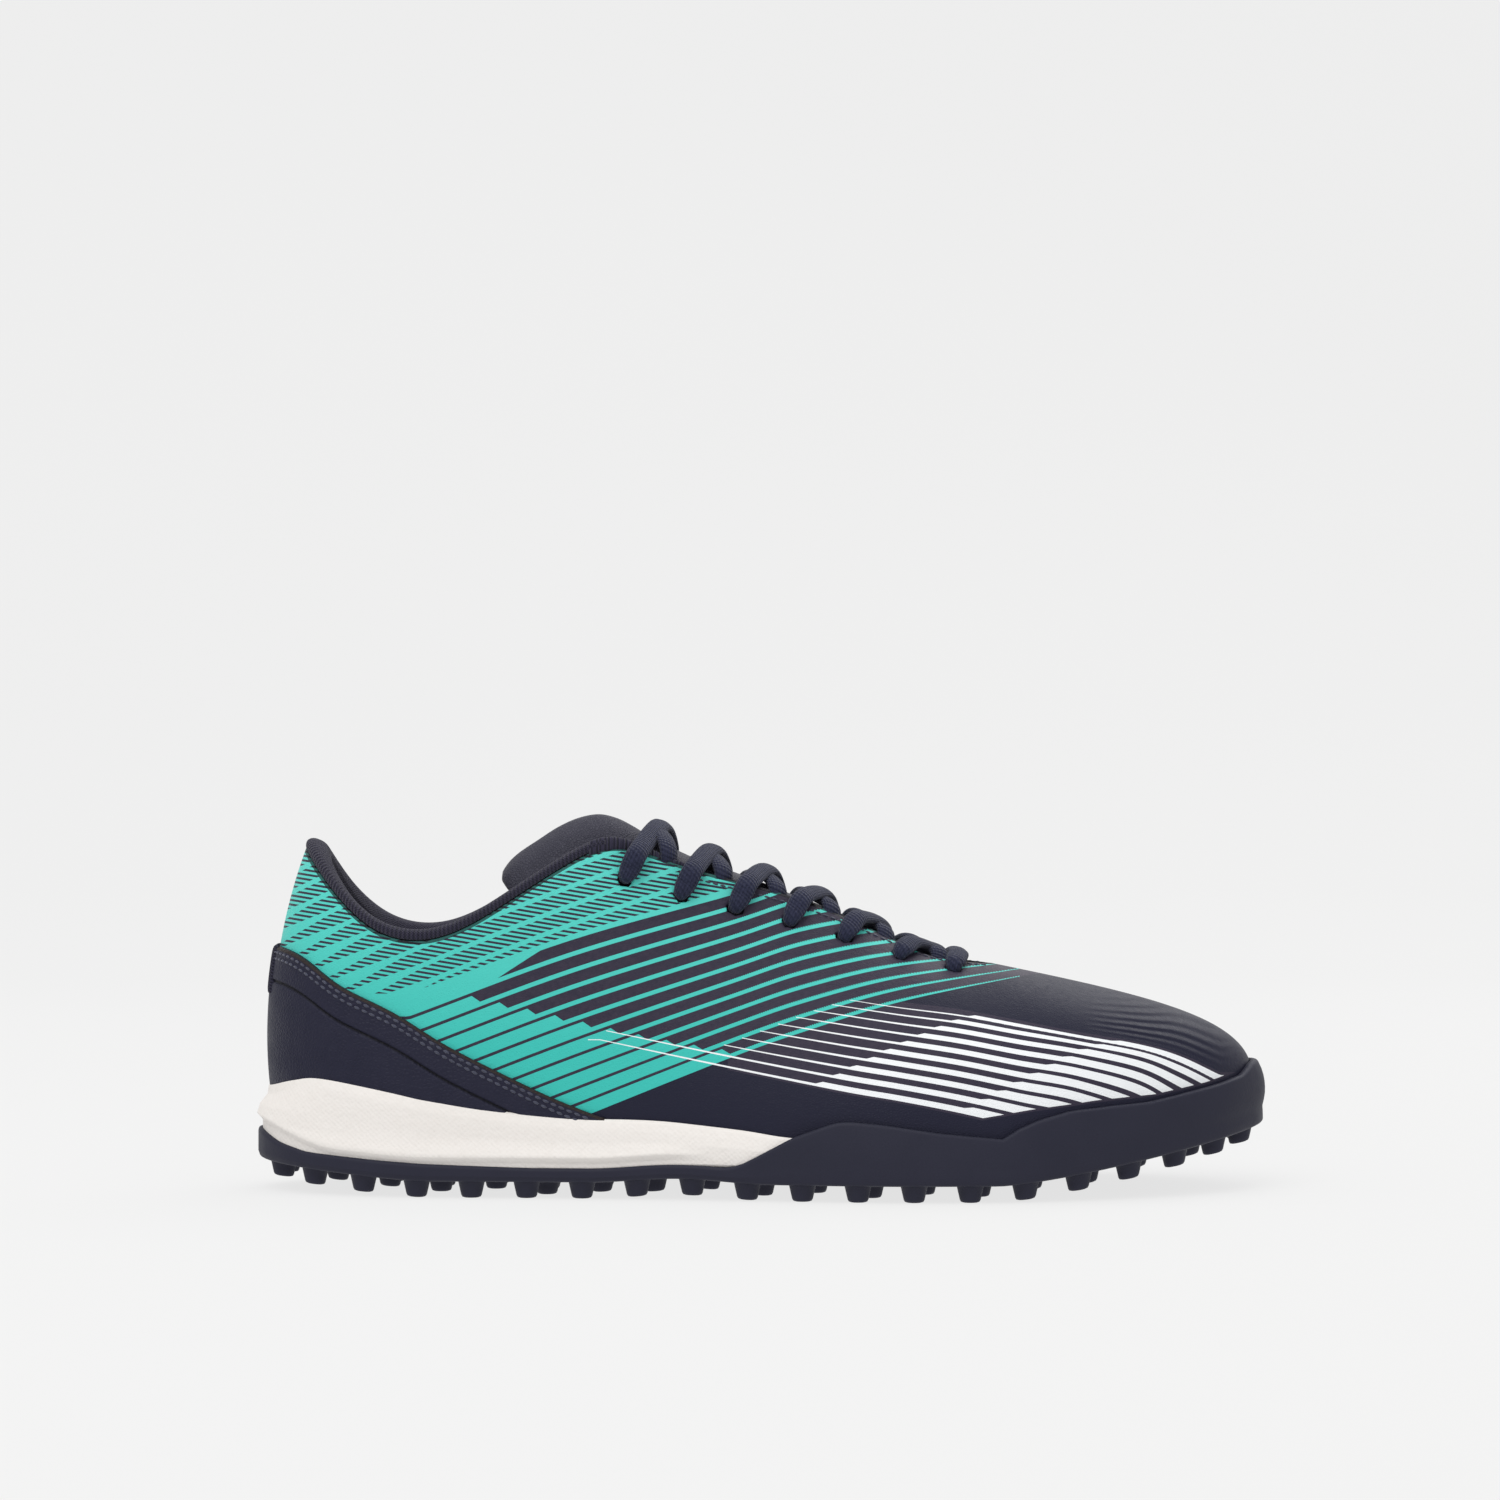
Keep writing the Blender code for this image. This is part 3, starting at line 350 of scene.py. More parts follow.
class Last:
    """Wall of the upper on a number of columns, from the back of the heel round the outer side."""

    def __init__(self, columns):
        table = SECTIONS.T
        top = HEEL_HEIGHT + (INSTEP_HEIGHT - HEEL_HEIGHT) * ease(table[0] / 0.355)

        def side(width, sign):
            return np.stack([FEATHER_BACK + table[0] * FEATHER_LENGTH, sign * width * BALL_WIDTH,
                             FEATHER_BACK + table[3] * FEATHER_LENGTH, sign * table[4] * BALL_WIDTH,
                             table[5] * top, table[6] * BALL_WIDTH, table[7] * INSTEP_HEIGHT,
                             table[8] * BALL_WIDTH, table[9] * INSTEP_HEIGHT], axis=1)

        ring = np.vstack([side(table[1], -1), side(table[2], 1)[-2:0:-1]])
        knots = distance_along(np.vstack([ring, ring[:1]])[:, :2])
        fine = np.linspace(0, knots[-1], 32 * len(ring) + 1)
        line = closed_spline(knots, ring, fine)
        run = distance_along(line[:, :2])
        tip = np.interp(knots[len(table[0]) - 1], fine, run)
        half = columns // 2
        even = np.concatenate([np.linspace(0, tip, half, endpoint=False),
                               np.linspace(tip, run[-1], half, endpoint=False)])
        self.ring = closed_spline(knots, ring, np.interp(even, run, fine))
        self.ring[:, [1, 3]] -= (self.ring[:, 1].max() + self.ring[:, 1].min()) / 2
        self.columns, self.half = columns, half
        self.outline = self.ring[:, :2]
        self.x = self.outline[:, 0]
        along = np.roll(self.outline, -1, axis=0) - np.roll(self.outline, 1, axis=0)
        self.away = unit(np.stack([along[:, 1], -along[:, 0]], axis=1))
        self.dense = self.wall(np.linspace(0, 1, 161))
        self.dense_normals = face_normals(self.dense)
        steps = np.linalg.norm(np.diff(self.dense, axis=0), axis=2)
        self.below_edge = np.vstack([np.cumsum(steps[::-1], axis=0)[::-1], np.zeros(columns)])

    def wall(self, shares):
        """Outer face: a cubic curve in each column from the feather (0) to the collar or throat (1)."""
        foot = np.column_stack([self.outline, bed(self.x) + GAP])
        edge = self.ring[:, 2:5]
        inward = unit(self.outline - edge[:, :2])
        first = foot + np.column_stack([self.away * self.ring[:, 5:6], self.ring[:, 6]])
        second = edge + np.column_stack([inward * self.ring[:, 7:8], -self.ring[:, 8]])
        return cubic(np.asarray(shares)[:, None, None], foot, first, second, edge)

    def skin(self, heights, out):
        """Points beside the wall at rows of heights, moved out in plan: read straight between samples."""
        heights = np.broadcast_to(heights, np.broadcast_shapes(np.shape(heights), (1, self.columns)))
        column = np.broadcast_to(np.arange(self.columns), heights.shape)
        upper = np.clip((self.dense[None, :, :, 2] < heights[:, None, :]).sum(axis=1), 1, 160)
        low, high = self.dense[upper - 1, column], self.dense[upper, column]
        share = np.clip((heights - low[..., 2]) / (high[..., 2] - low[..., 2]), 0, 1)[..., None]
        points = low + (high - low) * share
        points[..., :2] += self.away * np.broadcast_to(out, heights.shape)[..., None]
        points[..., 2] = heights
        return points

    def under_edge(self, depth, inward):
        """Points at a depth down the wall from its edge (past it where negative), then inwards."""
        shape = np.broadcast_shapes(np.shape(depth), np.shape(inward), (1, self.columns))
        depth, inward = np.broadcast_to(depth, shape), np.broadcast_to(inward, shape)
        column = np.broadcast_to(np.arange(self.columns), shape)
        lower = np.clip((self.below_edge[None] > depth[:, None, :]).sum(axis=1), 1, 160)
        low, high = self.below_edge[lower - 1, column], self.below_edge[lower, column]
        share = np.clip((low - depth) / (low - high), 0, 1)[..., None]
        points = self.dense[lower - 1, column] * (1 - share) + self.dense[lower, column] * share
        normal = unit(self.dense_normals[lower - 1, column] * (1 - share)
                      + self.dense_normals[lower, column] * share)
        past = unit(self.dense[-1] - self.dense[-2]) * np.maximum(-depth, 0)[..., None]
        return points + past - normal * inward[..., None]

    def ring_at(self, out, heights):
        """Rings round the feather line, moved out in plan, at their heights."""
        return stacked(self.x + self.away[:, 0] * out, self.outline[:, 1] + self.away[:, 1] * out, heights)

    def one_side(self, side):
        """Columns of the outer side (-1) or the inner side (1), from the heel to the toe."""
        return np.arange(1, self.half) if side < 0 else np.arange(self.columns - 1, self.half, -1)

    def round_heel(self, row, along):
        """Columns round the heel, up to where a row of places reaches a share of the length."""
        count = int(np.searchsorted(row[:self.half], BACK + along * LENGTH))
        return np.arange(-count, count + 1) % self.columns

    def reach(self):
        """How far the outsole stands out from the feather line."""
        along = (self.x - FEATHER_BACK) / FEATHER_LENGTH
        return (SIDE_REACH + (HEEL_REACH - SIDE_REACH) * (1 - ease(along / 0.10))
                + (TOE_REACH - SIDE_REACH) * ease((along - 0.84) / 0.16))


# Outsole. One navy rubber cup: flat bottom, a rounded side that climbs the toe and the heel, and
# a thin top edge that hugs the upper. Short turf studs are moulded under it.
STUD_HEIGHT, STUD_BASE, STUD_TIP, STUD_PITCH = 0.0047, 0.0075, 0.0058, 0.0156
STUD_ROOT, STUD_INSET, EDGE_ROUND, TOP_ROUND = 0.0006, 0.0004, 0.0012, 0.00096
RAND_THICKNESS, RAND_HEIGHT = 0.0025, 0.0225
# From this share of the length on, and within the next, the top edge closes on the upper
HUG_START, HUG_RUN = 0.52, 0.08
# Shares of the pitch: from the border row to a lane's ends, and a lane's shift; of a base: least gap
LANE_MARGIN, LANE_SHIFT, LEAST_GAP = 0.95, 0.25, 1.3
RAND_TOP = (
    (0.000, 0.600), (0.024, 0.480), (0.052, 0.422), (0.155, 0.435), (0.272, 0.387),
    (0.462, 0.387), (0.476, 0.430), (0.502, 0.620), (0.528, 0.800), (0.568, 0.985), (0.583, 1.000),
    (0.619, 0.956), (0.671, 0.858), (0.722, 0.796), (0.730, 0.778), (0.747, 0.889),
    (0.768, 0.964), (0.800, 1.009), (0.840, 0.969), (0.879, 0.911), (0.953, 0.898),
    (0.979, 0.916), (0.992, 1.004), (1.000, 1.020),
)
RUBBER_NAVY = (0.016, 0.0165, 0.031)

rubber = Finish("rubber", Specular_IOR_Level=0.18)
scuffs = rubber.noise(90, 3.0)
rubber.set(Base_Color=rubber.mix(scuffs, RUBBER_NAVY, (0.024, 0.0245, 0.041)),
           Roughness=scuffs.ramp(0.3, 0.7, 0.50, 0.66))
rubber.relief(rubber.noise(1500, 2.0) + rubber.noise(220, 2.0), 0.00006)


def rungs(count, start=0):
    """Quads over a closed ring: each step and the one that faces it, from a gap (0) or a point (1)."""
    step = np.arange((count - 1) // 2 + start)
    facing = count - 1 - step + start
    return np.column_stack([step, step + 1, (facing - 1) % count, facing % count])


def cup_quads(rows, columns):
    """Quads of a stack of rings, with rungs over the first and the last."""
    over = rungs(columns, 1)
    return np.vstack([sheet_quads(rows, columns, round_columns=True), over[:, ::-1],
                      over + (rows - 1) * columns])


def clean(piece):
    """Merges doubled points and drops faces without area, so that every quad is sound."""
    work = bmesh.new()
    work.from_mesh(piece.data)
    bmesh.ops.remove_doubles(work, verts=work.verts, dist=MERGED)
    bmesh.ops.dissolve_degenerate(work, edges=work.edges, dist=MERGED / 10)
    bmesh.ops.recalc_face_normals(work, faces=work.faces)
    work.to_mesh(piece.data)
    work.free()
    piece.data.shade_smooth()
    return piece


def shares_at(table, x):
    """Second column of a table of shares, read straight between rows where x is."""
    table = np.asarray(table)
    return np.interp((x - BACK) / LENGTH, table[:, 0], table[:, 1])


def outsole_points(last):
    """Rings of the rubber cup: bottom edge, rounded side, top edge, then down inside to the seat."""
    reach = last.reach()
    bottom, floor = lift(last.x) + STUD_HEIGHT, seat(last.x)
    top = lift(last.x) + RAND_HEIGHT * shares_at(RAND_TOP, last.x + last.away[:, 0] * reach)
    hug = ease(((last.x - BACK) / LENGTH - HUG_START) / HUG_RUN)
    upper_reach = reach + (RAND_THICKNESS - reach) * hug
    turn = np.linspace(0, math.pi / 2, 5)[:, None]
    rings = [last.ring_at(reach - EDGE_ROUND * (1.5 - 1.25 * np.sin(turn)),
                          bottom + EDGE_ROUND * (1 - np.cos(turn)))]
    rise = np.linspace(0.12, 1, 9)[:, None]
    lean = np.interp(rise, (0, 0.45, 1), (0, 0.4, 1))
    heights = bottom + EDGE_ROUND + (top - EDGE_ROUND * 1.8 - bottom) * rise
    rings.append(last.skin(heights, reach + (upper_reach - reach) * lean))
    turn = np.linspace(0.25, 1, 4)[:, None] * math.pi / 2
    rings.append(last.skin(top - TOP_ROUND * (1 - np.sin(turn)),
                           upper_reach - TOP_ROUND * (1 - np.cos(turn))))
    rings.append(last.skin(floor + (top - floor) * np.linspace(1, 0, 5)[:, None], FIT))
    return np.concatenate(rings)


sole_last = Last(264)
rings = outsole_points(sole_last)
outsole = clean(mesh_piece("outsole_cup", rings, cup_quads(*rings.shape[:2]), rubber.material))
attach(outsole, "root")


def read_at(where, run, rows):
    """Rows of values read straight between their places on a run."""
    return np.stack([np.interp(where, run, rows[:, axis]) for axis in range(rows.shape[1])], axis=-1)


def stud_places(last):
    """Middles of the studs: a row inside the edge of the sole and staggered rows between."""
    inset = STUD_BASE / 2 + EDGE_ROUND * 1.5 + STUD_INSET
    edge = last.outline + last.away * (last.reach() - inset)[:, None]
    loop = np.vstack([edge, edge[:1]])
    run = distance_along(loop)
    count = round(run[-1] / STUD_PITCH)
    border = read_at((np.arange(count) + 0.5) * run[-1] / count, run, loop)
    lanes, places = round(LENGTH / STUD_PITCH), [border]
    for lane in range(lanes):
        x = BACK + (lane + 0.5) * LENGTH / lanes
        low = np.interp(x, edge[:last.half, 0], edge[:last.half, 1]) + STUD_PITCH * LANE_MARGIN
        high = np.interp(x, edge[:last.half:-1, 0], edge[:last.half:-1, 1]) - STUD_PITCH * LANE_MARGIN
        number = int((high - low) // STUD_PITCH) + 1 if high > low else 0
        shift = LANE_SHIFT * STUD_PITCH * (-1) ** lane if number > 1 else 0
        across = (low + high) / 2 + shift + (np.arange(number) - (number - 1) / 2) * STUD_PITCH
        row = np.column_stack([np.full(number, x), across])
        gaps = np.linalg.norm(border[None] - row[:, None], axis=2).min(axis=1, initial=9)
        places.append(row[gaps > LEAST_GAP * STUD_BASE])
    return np.vstack(places)


def copied_quads(quads, copies, count):
    """Quads of a number of copies of one form with a count of points."""
    return (np.arange(copies)[:, None, None] * count + quads[None]).reshape(-1, 4)


def stud_mesh(places, sides=24):
    """Blunt cones with a rounded tip: rings of radius and height turned round each place."""
    half, tip = STUD_BASE / 2, STUD_TIP / 2
    profile = np.array([(0.0, 0.0), (tip - 0.0009, 0.0), (tip - 0.0003, 0.0002), (tip, 0.0007),
                        (tip + 0.0003, 0.0020), (half, STUD_HEIGHT - 0.0003),
                        (half + STUD_ROOT, STUD_HEIGHT + 0.0002), (half, STUD_HEIGHT + STUD_ROOT),
                        (0.0, STUD_HEIGHT + STUD_ROOT)])
    turn = np.arange(sides) * 2 * math.pi / sides
    circle = np.stack([np.cos(turn), np.sin(turn)], axis=1)
    plan = places[:, None, None, :] + profile[None, :, None, :1] * circle[None, None]
    height = lift(plan[..., 0]) + profile[None, :, None, 1]
    points = np.concatenate([plan, height[..., None]], axis=-1)
    quads = sheet_quads(len(profile), sides, round_columns=True)
    return points, copied_quads(quads, len(places), len(profile) * sides)


cad_last = Last(66)
points, quads = stud_mesh(stud_places(cad_last))
studs = clean(mesh_piece("turf_studs", points, quads, rubber.material))
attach(studs, "root")
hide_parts("outsole")
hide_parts("outsole")


# Midsole. A white moulded foam cup under the rear half: it sits in the outsole, bulges a little
# over its lip and climbs the upper at the heel. Its side is covered with fine raised dots.
MIDSOLE_HEIGHT, LIP_STEP, FOAM_EDGE = 0.0309, 0.0013, 0.0018
# The outsole's lip: shares of the rand's height along the side and added at the heel, over this run
LIP_LOW, LIP_KICK, KICK_RUN = 0.44, 0.30, 0.09
# Shares of the length: where the foam stops standing proud of the lip, and past its front
PROUD_END, PROUD_RUN, FOAM_END = 0.39, 0.07, 0.56


def smooth_rows(values, steps, closed=False):
    """Cubic through rows of values in even steps: its slope at a row is half the way between neighbours."""
    values = np.asarray(values, float)
    if closed:
        padded = np.concatenate([values[-1:], values, values[:2]])
    else:
        padded = np.concatenate([2 * values[:1] - values[1:2], values, 2 * values[-1:] - values[-2:-1]])
    t = (np.arange(steps) / steps).reshape((1, -1) + (1,) * (values.ndim - 1))
    a, b, c, d = (padded[k:len(padded) - 3 + k][:, None] for k in range(4))
    curve = 0.5 * (2 * b + (c - a) * t + (2 * a - 5 * b + 4 * c - d) * t * t
                   + (3 * b - a - 3 * c + d) * t ** 3)
    curve = curve.reshape((-1,) + values.shape[1:])
    return curve if closed else np.concatenate([curve, values[-1:]])


MIDSOLE_TOP = smooth_rows((
    (0.000, 0.800), (0.019, 0.825), (0.048, 0.940), (0.076, 1.000), (0.134, 0.955),
    (0.183, 0.880), (0.231, 0.809), (0.300, 0.744), (0.362, 0.712), (0.431, 0.647),
    (0.486, 0.625), (0.528, 0.576), (0.600, 0.530),
), 6)
MIDSOLE_FRONT, MIDSOLE_FRONT_HEIGHTS = (0.500, 0.548), (0.0091, 0.0184)
FOAM_WHITE = (0.85, 0.815, 0.785)

foam = Finish("foam", Roughness=0.78, Specular_IOR_Level=0.25)
girth, climb, _ = foam.field("side")
dots = girth.wave(1.7) * climb.wave(1.4)
foam.set(Base_Color=foam.mix(foam.noise(500) * 0.5 + foam.noise(60) * 0.5, (0.77, 0.73, 0.69), FOAM_WHITE))
foam.relief(dots * 0.10 + foam.noise(700) * 0.9, 0.00020)

COLUMNS = 528
last = Last(COLUMNS)
reach = last.reach()
under, base = seat(last.x) - GAP / 3, bed(last.x)
lip = lift(last.x) + RAND_HEIGHT * (LIP_LOW + LIP_KICK * (1 - ease((last.x - BACK) / (KICK_RUN * LENGTH))))
top = lift(last.x) + MIDSOLE_HEIGHT * shares_at(MIDSOLE_TOP, last.x)
foot = reach - LIP_STEP
proud = foot + LIP_STEP * (1 - ease(((last.x - BACK) / LENGTH - PROUD_END) / PROUD_RUN))
flank = lip + (top - lip) * 0.45
# Its section, as heights and places out of the upper: foot, side, lip, flank and thin top edge
knots = [(under, foot - EDGE_ROUND), (under + EDGE_ROUND, foot), (lip, foot), (lip + LIP_STEP * 1.4, proud),
         (flank, foot), (top - 1.65 * FOAM_EDGE, 1.35 * FOAM_EDGE), (top - 0.3 * FOAM_EDGE, FOAM_EDGE),
         (top, 0.6 * FOAM_EDGE), (top - 0.1 * FOAM_EDGE, FIT)]
heights, outs = (np.array([np.broadcast_to(knot[which], COLUMNS) for knot in knots]) for which in (0, 1))
along = np.concatenate([np.linspace(0, 2, 5)[:-1], np.linspace(2, 6, 25)[:-1], np.linspace(6, 8, 9)])
low = np.clip(along.astype(int), 0, 7)
share = (along - low)[:, None]
heights = np.vstack([heights[low] * (1 - share) + heights[low + 1] * share,
                     base + (top - base) * np.linspace(0.75, 0, 4)[:, None]])
outs = np.vstack([outs[low] * (1 - share) + outs[low + 1] * share, np.full((4, COLUMNS), FIT)])
order = last.round_heel(last.x, FOAM_END)
grid = last.skin(heights, outs)[:, order]
(front_low, front_high), (front_foot, front_head) = MIDSOLE_FRONT_HEIGHTS, MIDSOLE_FRONT
slope = (front_head - front_foot) * LENGTH / (front_high - front_low)
past = grid[..., 0] - (BACK + front_foot * LENGTH + slope * (grid[..., 2] - front_low))
rows, columns = grid.shape[:2]
heel = columns // 2
# Each row runs forward to the slanted plane of the front end and stops there
for forward in (slice(heel, None), slice(heel, None, -1)):
    part, over = grid[:, forward], past[:, forward]
    first = np.maximum((over > 0).argmax(axis=1), 1)
    row = np.arange(rows)
    share = over[row, first - 1] / (over[row, first - 1] - over[row, first])
    stop = part[row, first - 1] + (part[row, first] - part[row, first - 1]) * share[:, None]
    part[:] = np.where((np.arange(heel + 1)[None] >= first[:, None])[..., None], stop[:, None], part)
over, row = rungs(columns), np.arange(rows - 1) * columns
front = np.column_stack([row, row + columns, row + 2 * columns - 1, row + columns - 1])
quads = np.vstack([sheet_quads(rows, columns), over[:, ::-1], over + (rows - 1) * columns, front])
side = stacked(distance_along(last.outline[order])[None], grid[..., 2] - lift(grid[..., 0]), 0.0) * 1000
midsole = clean(mesh_piece("midsole_foam", grid, quads, foam.material, {"side": side}))
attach(midsole, "root")
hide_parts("midsole")


# Sock liner. A thin foam insole faced with knitted cloth, lying loose on the bed inside the shoe.
INSOLE_THICKNESS = 0.0035
# Section of its rim: inwards and upwards, shares of the thickness
LINER_RIM = np.array(((0.0, 0.0), (0.0, 0.8), (0.1, 0.95), (0.35, 1.0), (2.0, 1.0)))

knit = Finish("knit", Roughness=0.9, Sheen_Weight=0.1, Specular_IOR_Level=0.15)
knit.set(Base_Color=knit.mix(knit.noise(900), (0.012, 0.012, 0.026), (0.030, 0.030, 0.052)))
knit.relief(knit.grain(900), 0.0002)
inward, up = LINER_RIM.T[..., None] * INSOLE_THICKNESS
liner = sole_last.ring_at(-(WALL + 2 * GAP + inward), bed(sole_last.x) + GAP + up)
insole = clean(mesh_piece("sock_liner", liner, cup_quads(*liner.shape[:2]), knit.material))
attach(insole, "root")
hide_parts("insole")


# Upper. One thin bonded synthetic shell, open at the collar and the throat, with seven lace holes
# punched through each facing. Its face is printed: teal hatching at the collar, teal stripes over
# the waist and white speed lines that widen towards the toe. Inside it is lined with knit.
EYELET, EYELET_INSET, EYELET_COUNT, EYELET_SPAN = 0.0042, 0.0085, 7, (0.366, 0.687)
NAVY, PRINT_NAVY = (0.014, 0.0145, 0.031), (0.040, 0.033, 0.054)
TEAL, PALE_TEAL, WHITE_INK = (0.045, 0.50, 0.44), (0.12, 0.66, 0.58), (0.84, 0.86, 0.88)
# Speed lines on the drawing, mm. along; lower edge of the first line; from it to the tenth's; power
LINE_ROWS = smooth_rows((
    (-46.8, 66.4, 24.2, 1.12), (-12.2, 59.5, 24.8, 1.15), (22.3, 54.1, 26.5, 1.15),
    (39.6, 51.4, 26.8, 1.15), (56.9, 49.1, 27.9, 1.15), (74.2, 45.9, 28.8, 1.17),
    (91.4, 42.8, 30.5, 1.25), (108.7, 39.6, 38.0, 1.30), (120.2, 35.8, 50.4, 1.30),
    (131.8, 30.1, 57.6, 1.30),
), 8)
# Where the speed lines are cut off above the sole, mm: along, height
LINE_CUT = np.array((
    (56.9, 18.6), (68.1, 20.5), (77.6, 22.2), (88.6, 23.7), (95.8, 24.8), (106.7, 26.0),
    (112.8, 26.6), (119.4, 28.1), (127.7, 30.1), (131.5, 31.5), (137.5, 34.1),
))
# Teal stripes, mm. along; lower edge of the tenth stripe; from one stripe to the next
STRIPE_ROWS = smooth_rows((
    (-101.8, -0.2, 4.92), (-55.4, 18.6, 4.75), (-9.5, 37.0, 4.25), (13.4, 45.1, 4.13),
    (39.6, 53.2, 3.46), (71.3, 60.0, 2.30), (85.7, 62.3, 1.73),
), 8)


def drawing(points):
    """The print's drawing, mm: the outer side as the camera sees it, the inner side folded onto it."""
    near = CAMERA_AWAY / (CAMERA_AWAY - np.abs(points[:, 1]))
    along = CAMERA_X + (points[:, 0] - CAMERA_X) * near
    return along * 1000, (CAMERA_HEIGHT + (points[:, 2] - CAMERA_HEIGHT) * near) * 1000


def line_number(along, height):
    """Number of the speed line: 9 times a power of the share of the way from first to tenth."""
    first, total, power = read_at(along, LINE_ROWS[:, 0], LINE_ROWS[:, 1:]).T
    share = (first - height) / total
    return 9 * np.sign(share) * np.abs(share) ** (1 / power)


def stripe_number(along, height):
    """Number of the teal stripe, counted down from the hatching."""
    low, pitch = read_at(along, STRIPE_ROWS[:, 0], STRIPE_ROWS[:, 1:]).T
    return 10 - (height - low) / pitch


synthetic = Finish("printed_synthetic", Specular_IOR_Level=0.14)
x, z, stripe = synthetic.field("drawing")
line, cut, edge = synthetic.field("lines")
# White lines: each has a thin start, then two slanted steps to a wide block
number = line.whole() + 1
start = 25.2 - number * 5.18 - (number > 7.5) * 28.8
first_step, second_step = 59.2 - number * 4.87, 100.4 - number * 4.70
width = (x.ramp(start, first_step, 0.07, 0.22) + x.ramp(first_step, first_step + 2.0, 0.0, 0.26)
         + x.ramp(second_step, second_step + 2.6, 0.0, 0.20))
odd, second = (number * 0.5).fraction() > 0.25, (number < 2.5) * (number > 1.5)
width = width - odd * x.ramp(80, 100, 0.0, 0.08) - second * x.ramp(96, 106, 0.0, 0.07)
white = (line.fraction() > 1 - width) * (x > start) * (cut > 0) * (line > -1) * (line < 9)
# Teal stripes: a wide stripe with a thin navy gap steps down to a thin teal line
number = stripe.whole() + 1
step = number * 8.0 - 91.7
narrow = x.ramp(step, step + 2.4)
jagged = ((x * 0.9 + z * 2.1).fraction() - 0.5) * x.ramp(-20, 20, 0.0, 0.10)
width = 0.81 - narrow * 0.53 + jagged - x.ramp(30, 72, 0.0, 0.20)
solid = (stripe < 0) * (stripe + 1 < (x + 64.0) * -0.059)
striped = (stripe.fraction() > 1 - width).most(solid) * (stripe > -1) * (stripe < 10) * (x < 74)
# Hatching: short navy dashes stacked in slanted bands on a teal ground
band, row = (x * 0.285 - x * x * 0.00077 - z) / 5.5, (z + x * 0.165) / -1.33
length = (z + x * 0.56).ramp(-6.0, 8.0, 0.28, 0.74)
dash = (row.fraction() > 0.52) * ((band.fraction() - 0.5).size() * 2 < length)
hatched = (stripe < -1) * (1 - dash * (stripe < -1.34)) * (x < 66)
teal = (striped + hatched).least(1.0)
zone = ((stripe < 10) + (line < 9.2) * (line > -0.9) * (x > -10) * (cut > -0.6)).least(1.0)
mottle = synthetic.noise(700, 2.0)
navy = synthetic.mix(zone * mottle.ramp(0.25, 0.75, 0.55, 1.0), NAVY, PRINT_NAVY)
ink = synthetic.mix(z.ramp(40, 95) * 0.8, TEAL, PALE_TEAL)
colour = synthetic.mix(teal, navy, ink)
colour = synthetic.mix(white, colour, WHITE_INK)
# Painted shade: within 0.9 mm of the collar and throat edge the upper is coloured near-black, where the
# binding over it casts shade.
colour = synthetic.mix((edge < 0.9) * 0.85, colour, (0.008, 0.008, 0.012))
synthetic.set(Base_Color=colour, Roughness=mottle.ramp(0.2, 0.8, 0.40, 0.52) - white * 0.05)
ribs = line.wave(0.5) * x.ramp(92, 108) * x.ramp(136, 126) * line.ramp(-1.0, -1.8) * line.ramp(-7.5, -6.0)
leather = synthetic.grain(1500).ramp(0.0, 0.35)
synthetic.relief(ribs * 0.65 + leather * 0.18 + mottle * 0.30 + (white + teal).least(1.0) * 0.10, 0.00030)


def eyelet_places(last, side):
    """Middle and outward normal of each lace hole on one side: -1 outer, 1 inner."""
    order = last.one_side(side)
    middles = last.under_edge(EYELET_INSET, 0.0)[0][order]
    normals = middles - last.under_edge(EYELET_INSET, WALL)[0][order]
    at = BACK + LENGTH * np.linspace(*EYELET_SPAN, EYELET_COUNT)
    return read_at(at, middles[:, 0], middles), unit(read_at(at, middles[:, 0], normals))


ROWS = 92
outer = last.wall(np.linspace(0, 1, ROWS))
normals = face_normals(outer)
# Creases where the forefoot bends: along, depth, half-width, lean (metres)
CREASES = ((0.030, 0.0009, 0.0045, 0.25), (0.044, 0.0007, 0.0040, 0.18), (0.016, 0.0006, 0.0050, 0.30))
climb = ease((outer[..., 2] - 0.024) / 0.020)
for along, depth, half_width, lean in CREASES:
    away = (outer[..., 0] - along + lean * (outer[..., 2] - 0.045)) / half_width
    fall = np.exp(-away ** 2) * climb * ease((0.062 - outer[..., 2]) / 0.012)
    outer -= normals * (depth * fall)[..., None] * 0.6
holes = [np.concatenate(pair) for pair in zip(eyelet_places(last, -1), eyelet_places(last, 1))]
run_down = np.concatenate([np.cumsum(np.linalg.norm(np.diff(outer, axis=0), axis=2)[::-1], axis=0)[::-1],
                           np.zeros((1, COLUMNS))])
for middle, normal in zip(*holes):
    gap = outer - middle
    flat = gap - normal * (gap @ normal)[..., None]
    away = np.linalg.norm(flat, axis=-1)
    near = (away < EYELET) & (np.abs(gap @ normal) < 0.004)
    outer[near] += (flat / np.maximum(away, 1e-7)[..., None] * (EYELET / 2 - away / 2)[..., None])[near]
inner = outer - normals * WALL
inner[0, :, 2] = outer[0, :, 2]
quads = sheet_quads(ROWS, COLUMNS, round_columns=True)
middle_of = outer.reshape(-1, 3)[quads].mean(axis=1)
punched = (np.linalg.norm(middle_of[:, None] - holes[0][None], axis=2) < EYELET / 2 * 0.93).any(axis=1)
count = ROWS * COLUMNS
kept = quads[~punched]
edges = np.concatenate([np.stack([quads[:, c], quads[:, (c + 1) % 4]], axis=1) for c in range(4)])
removed, keys = edges[np.tile(punched, 4)], edges[np.tile(~punched, 4)] @ (count, 1)
rim = removed[np.isin(removed @ (1, count), keys)]
low_edge = np.stack([np.arange(COLUMNS), (np.arange(COLUMNS) + 1) % COLUMNS], axis=1)
walls = np.vstack([low_edge[:, ::-1], low_edge + (ROWS - 1) * COLUMNS, rim])
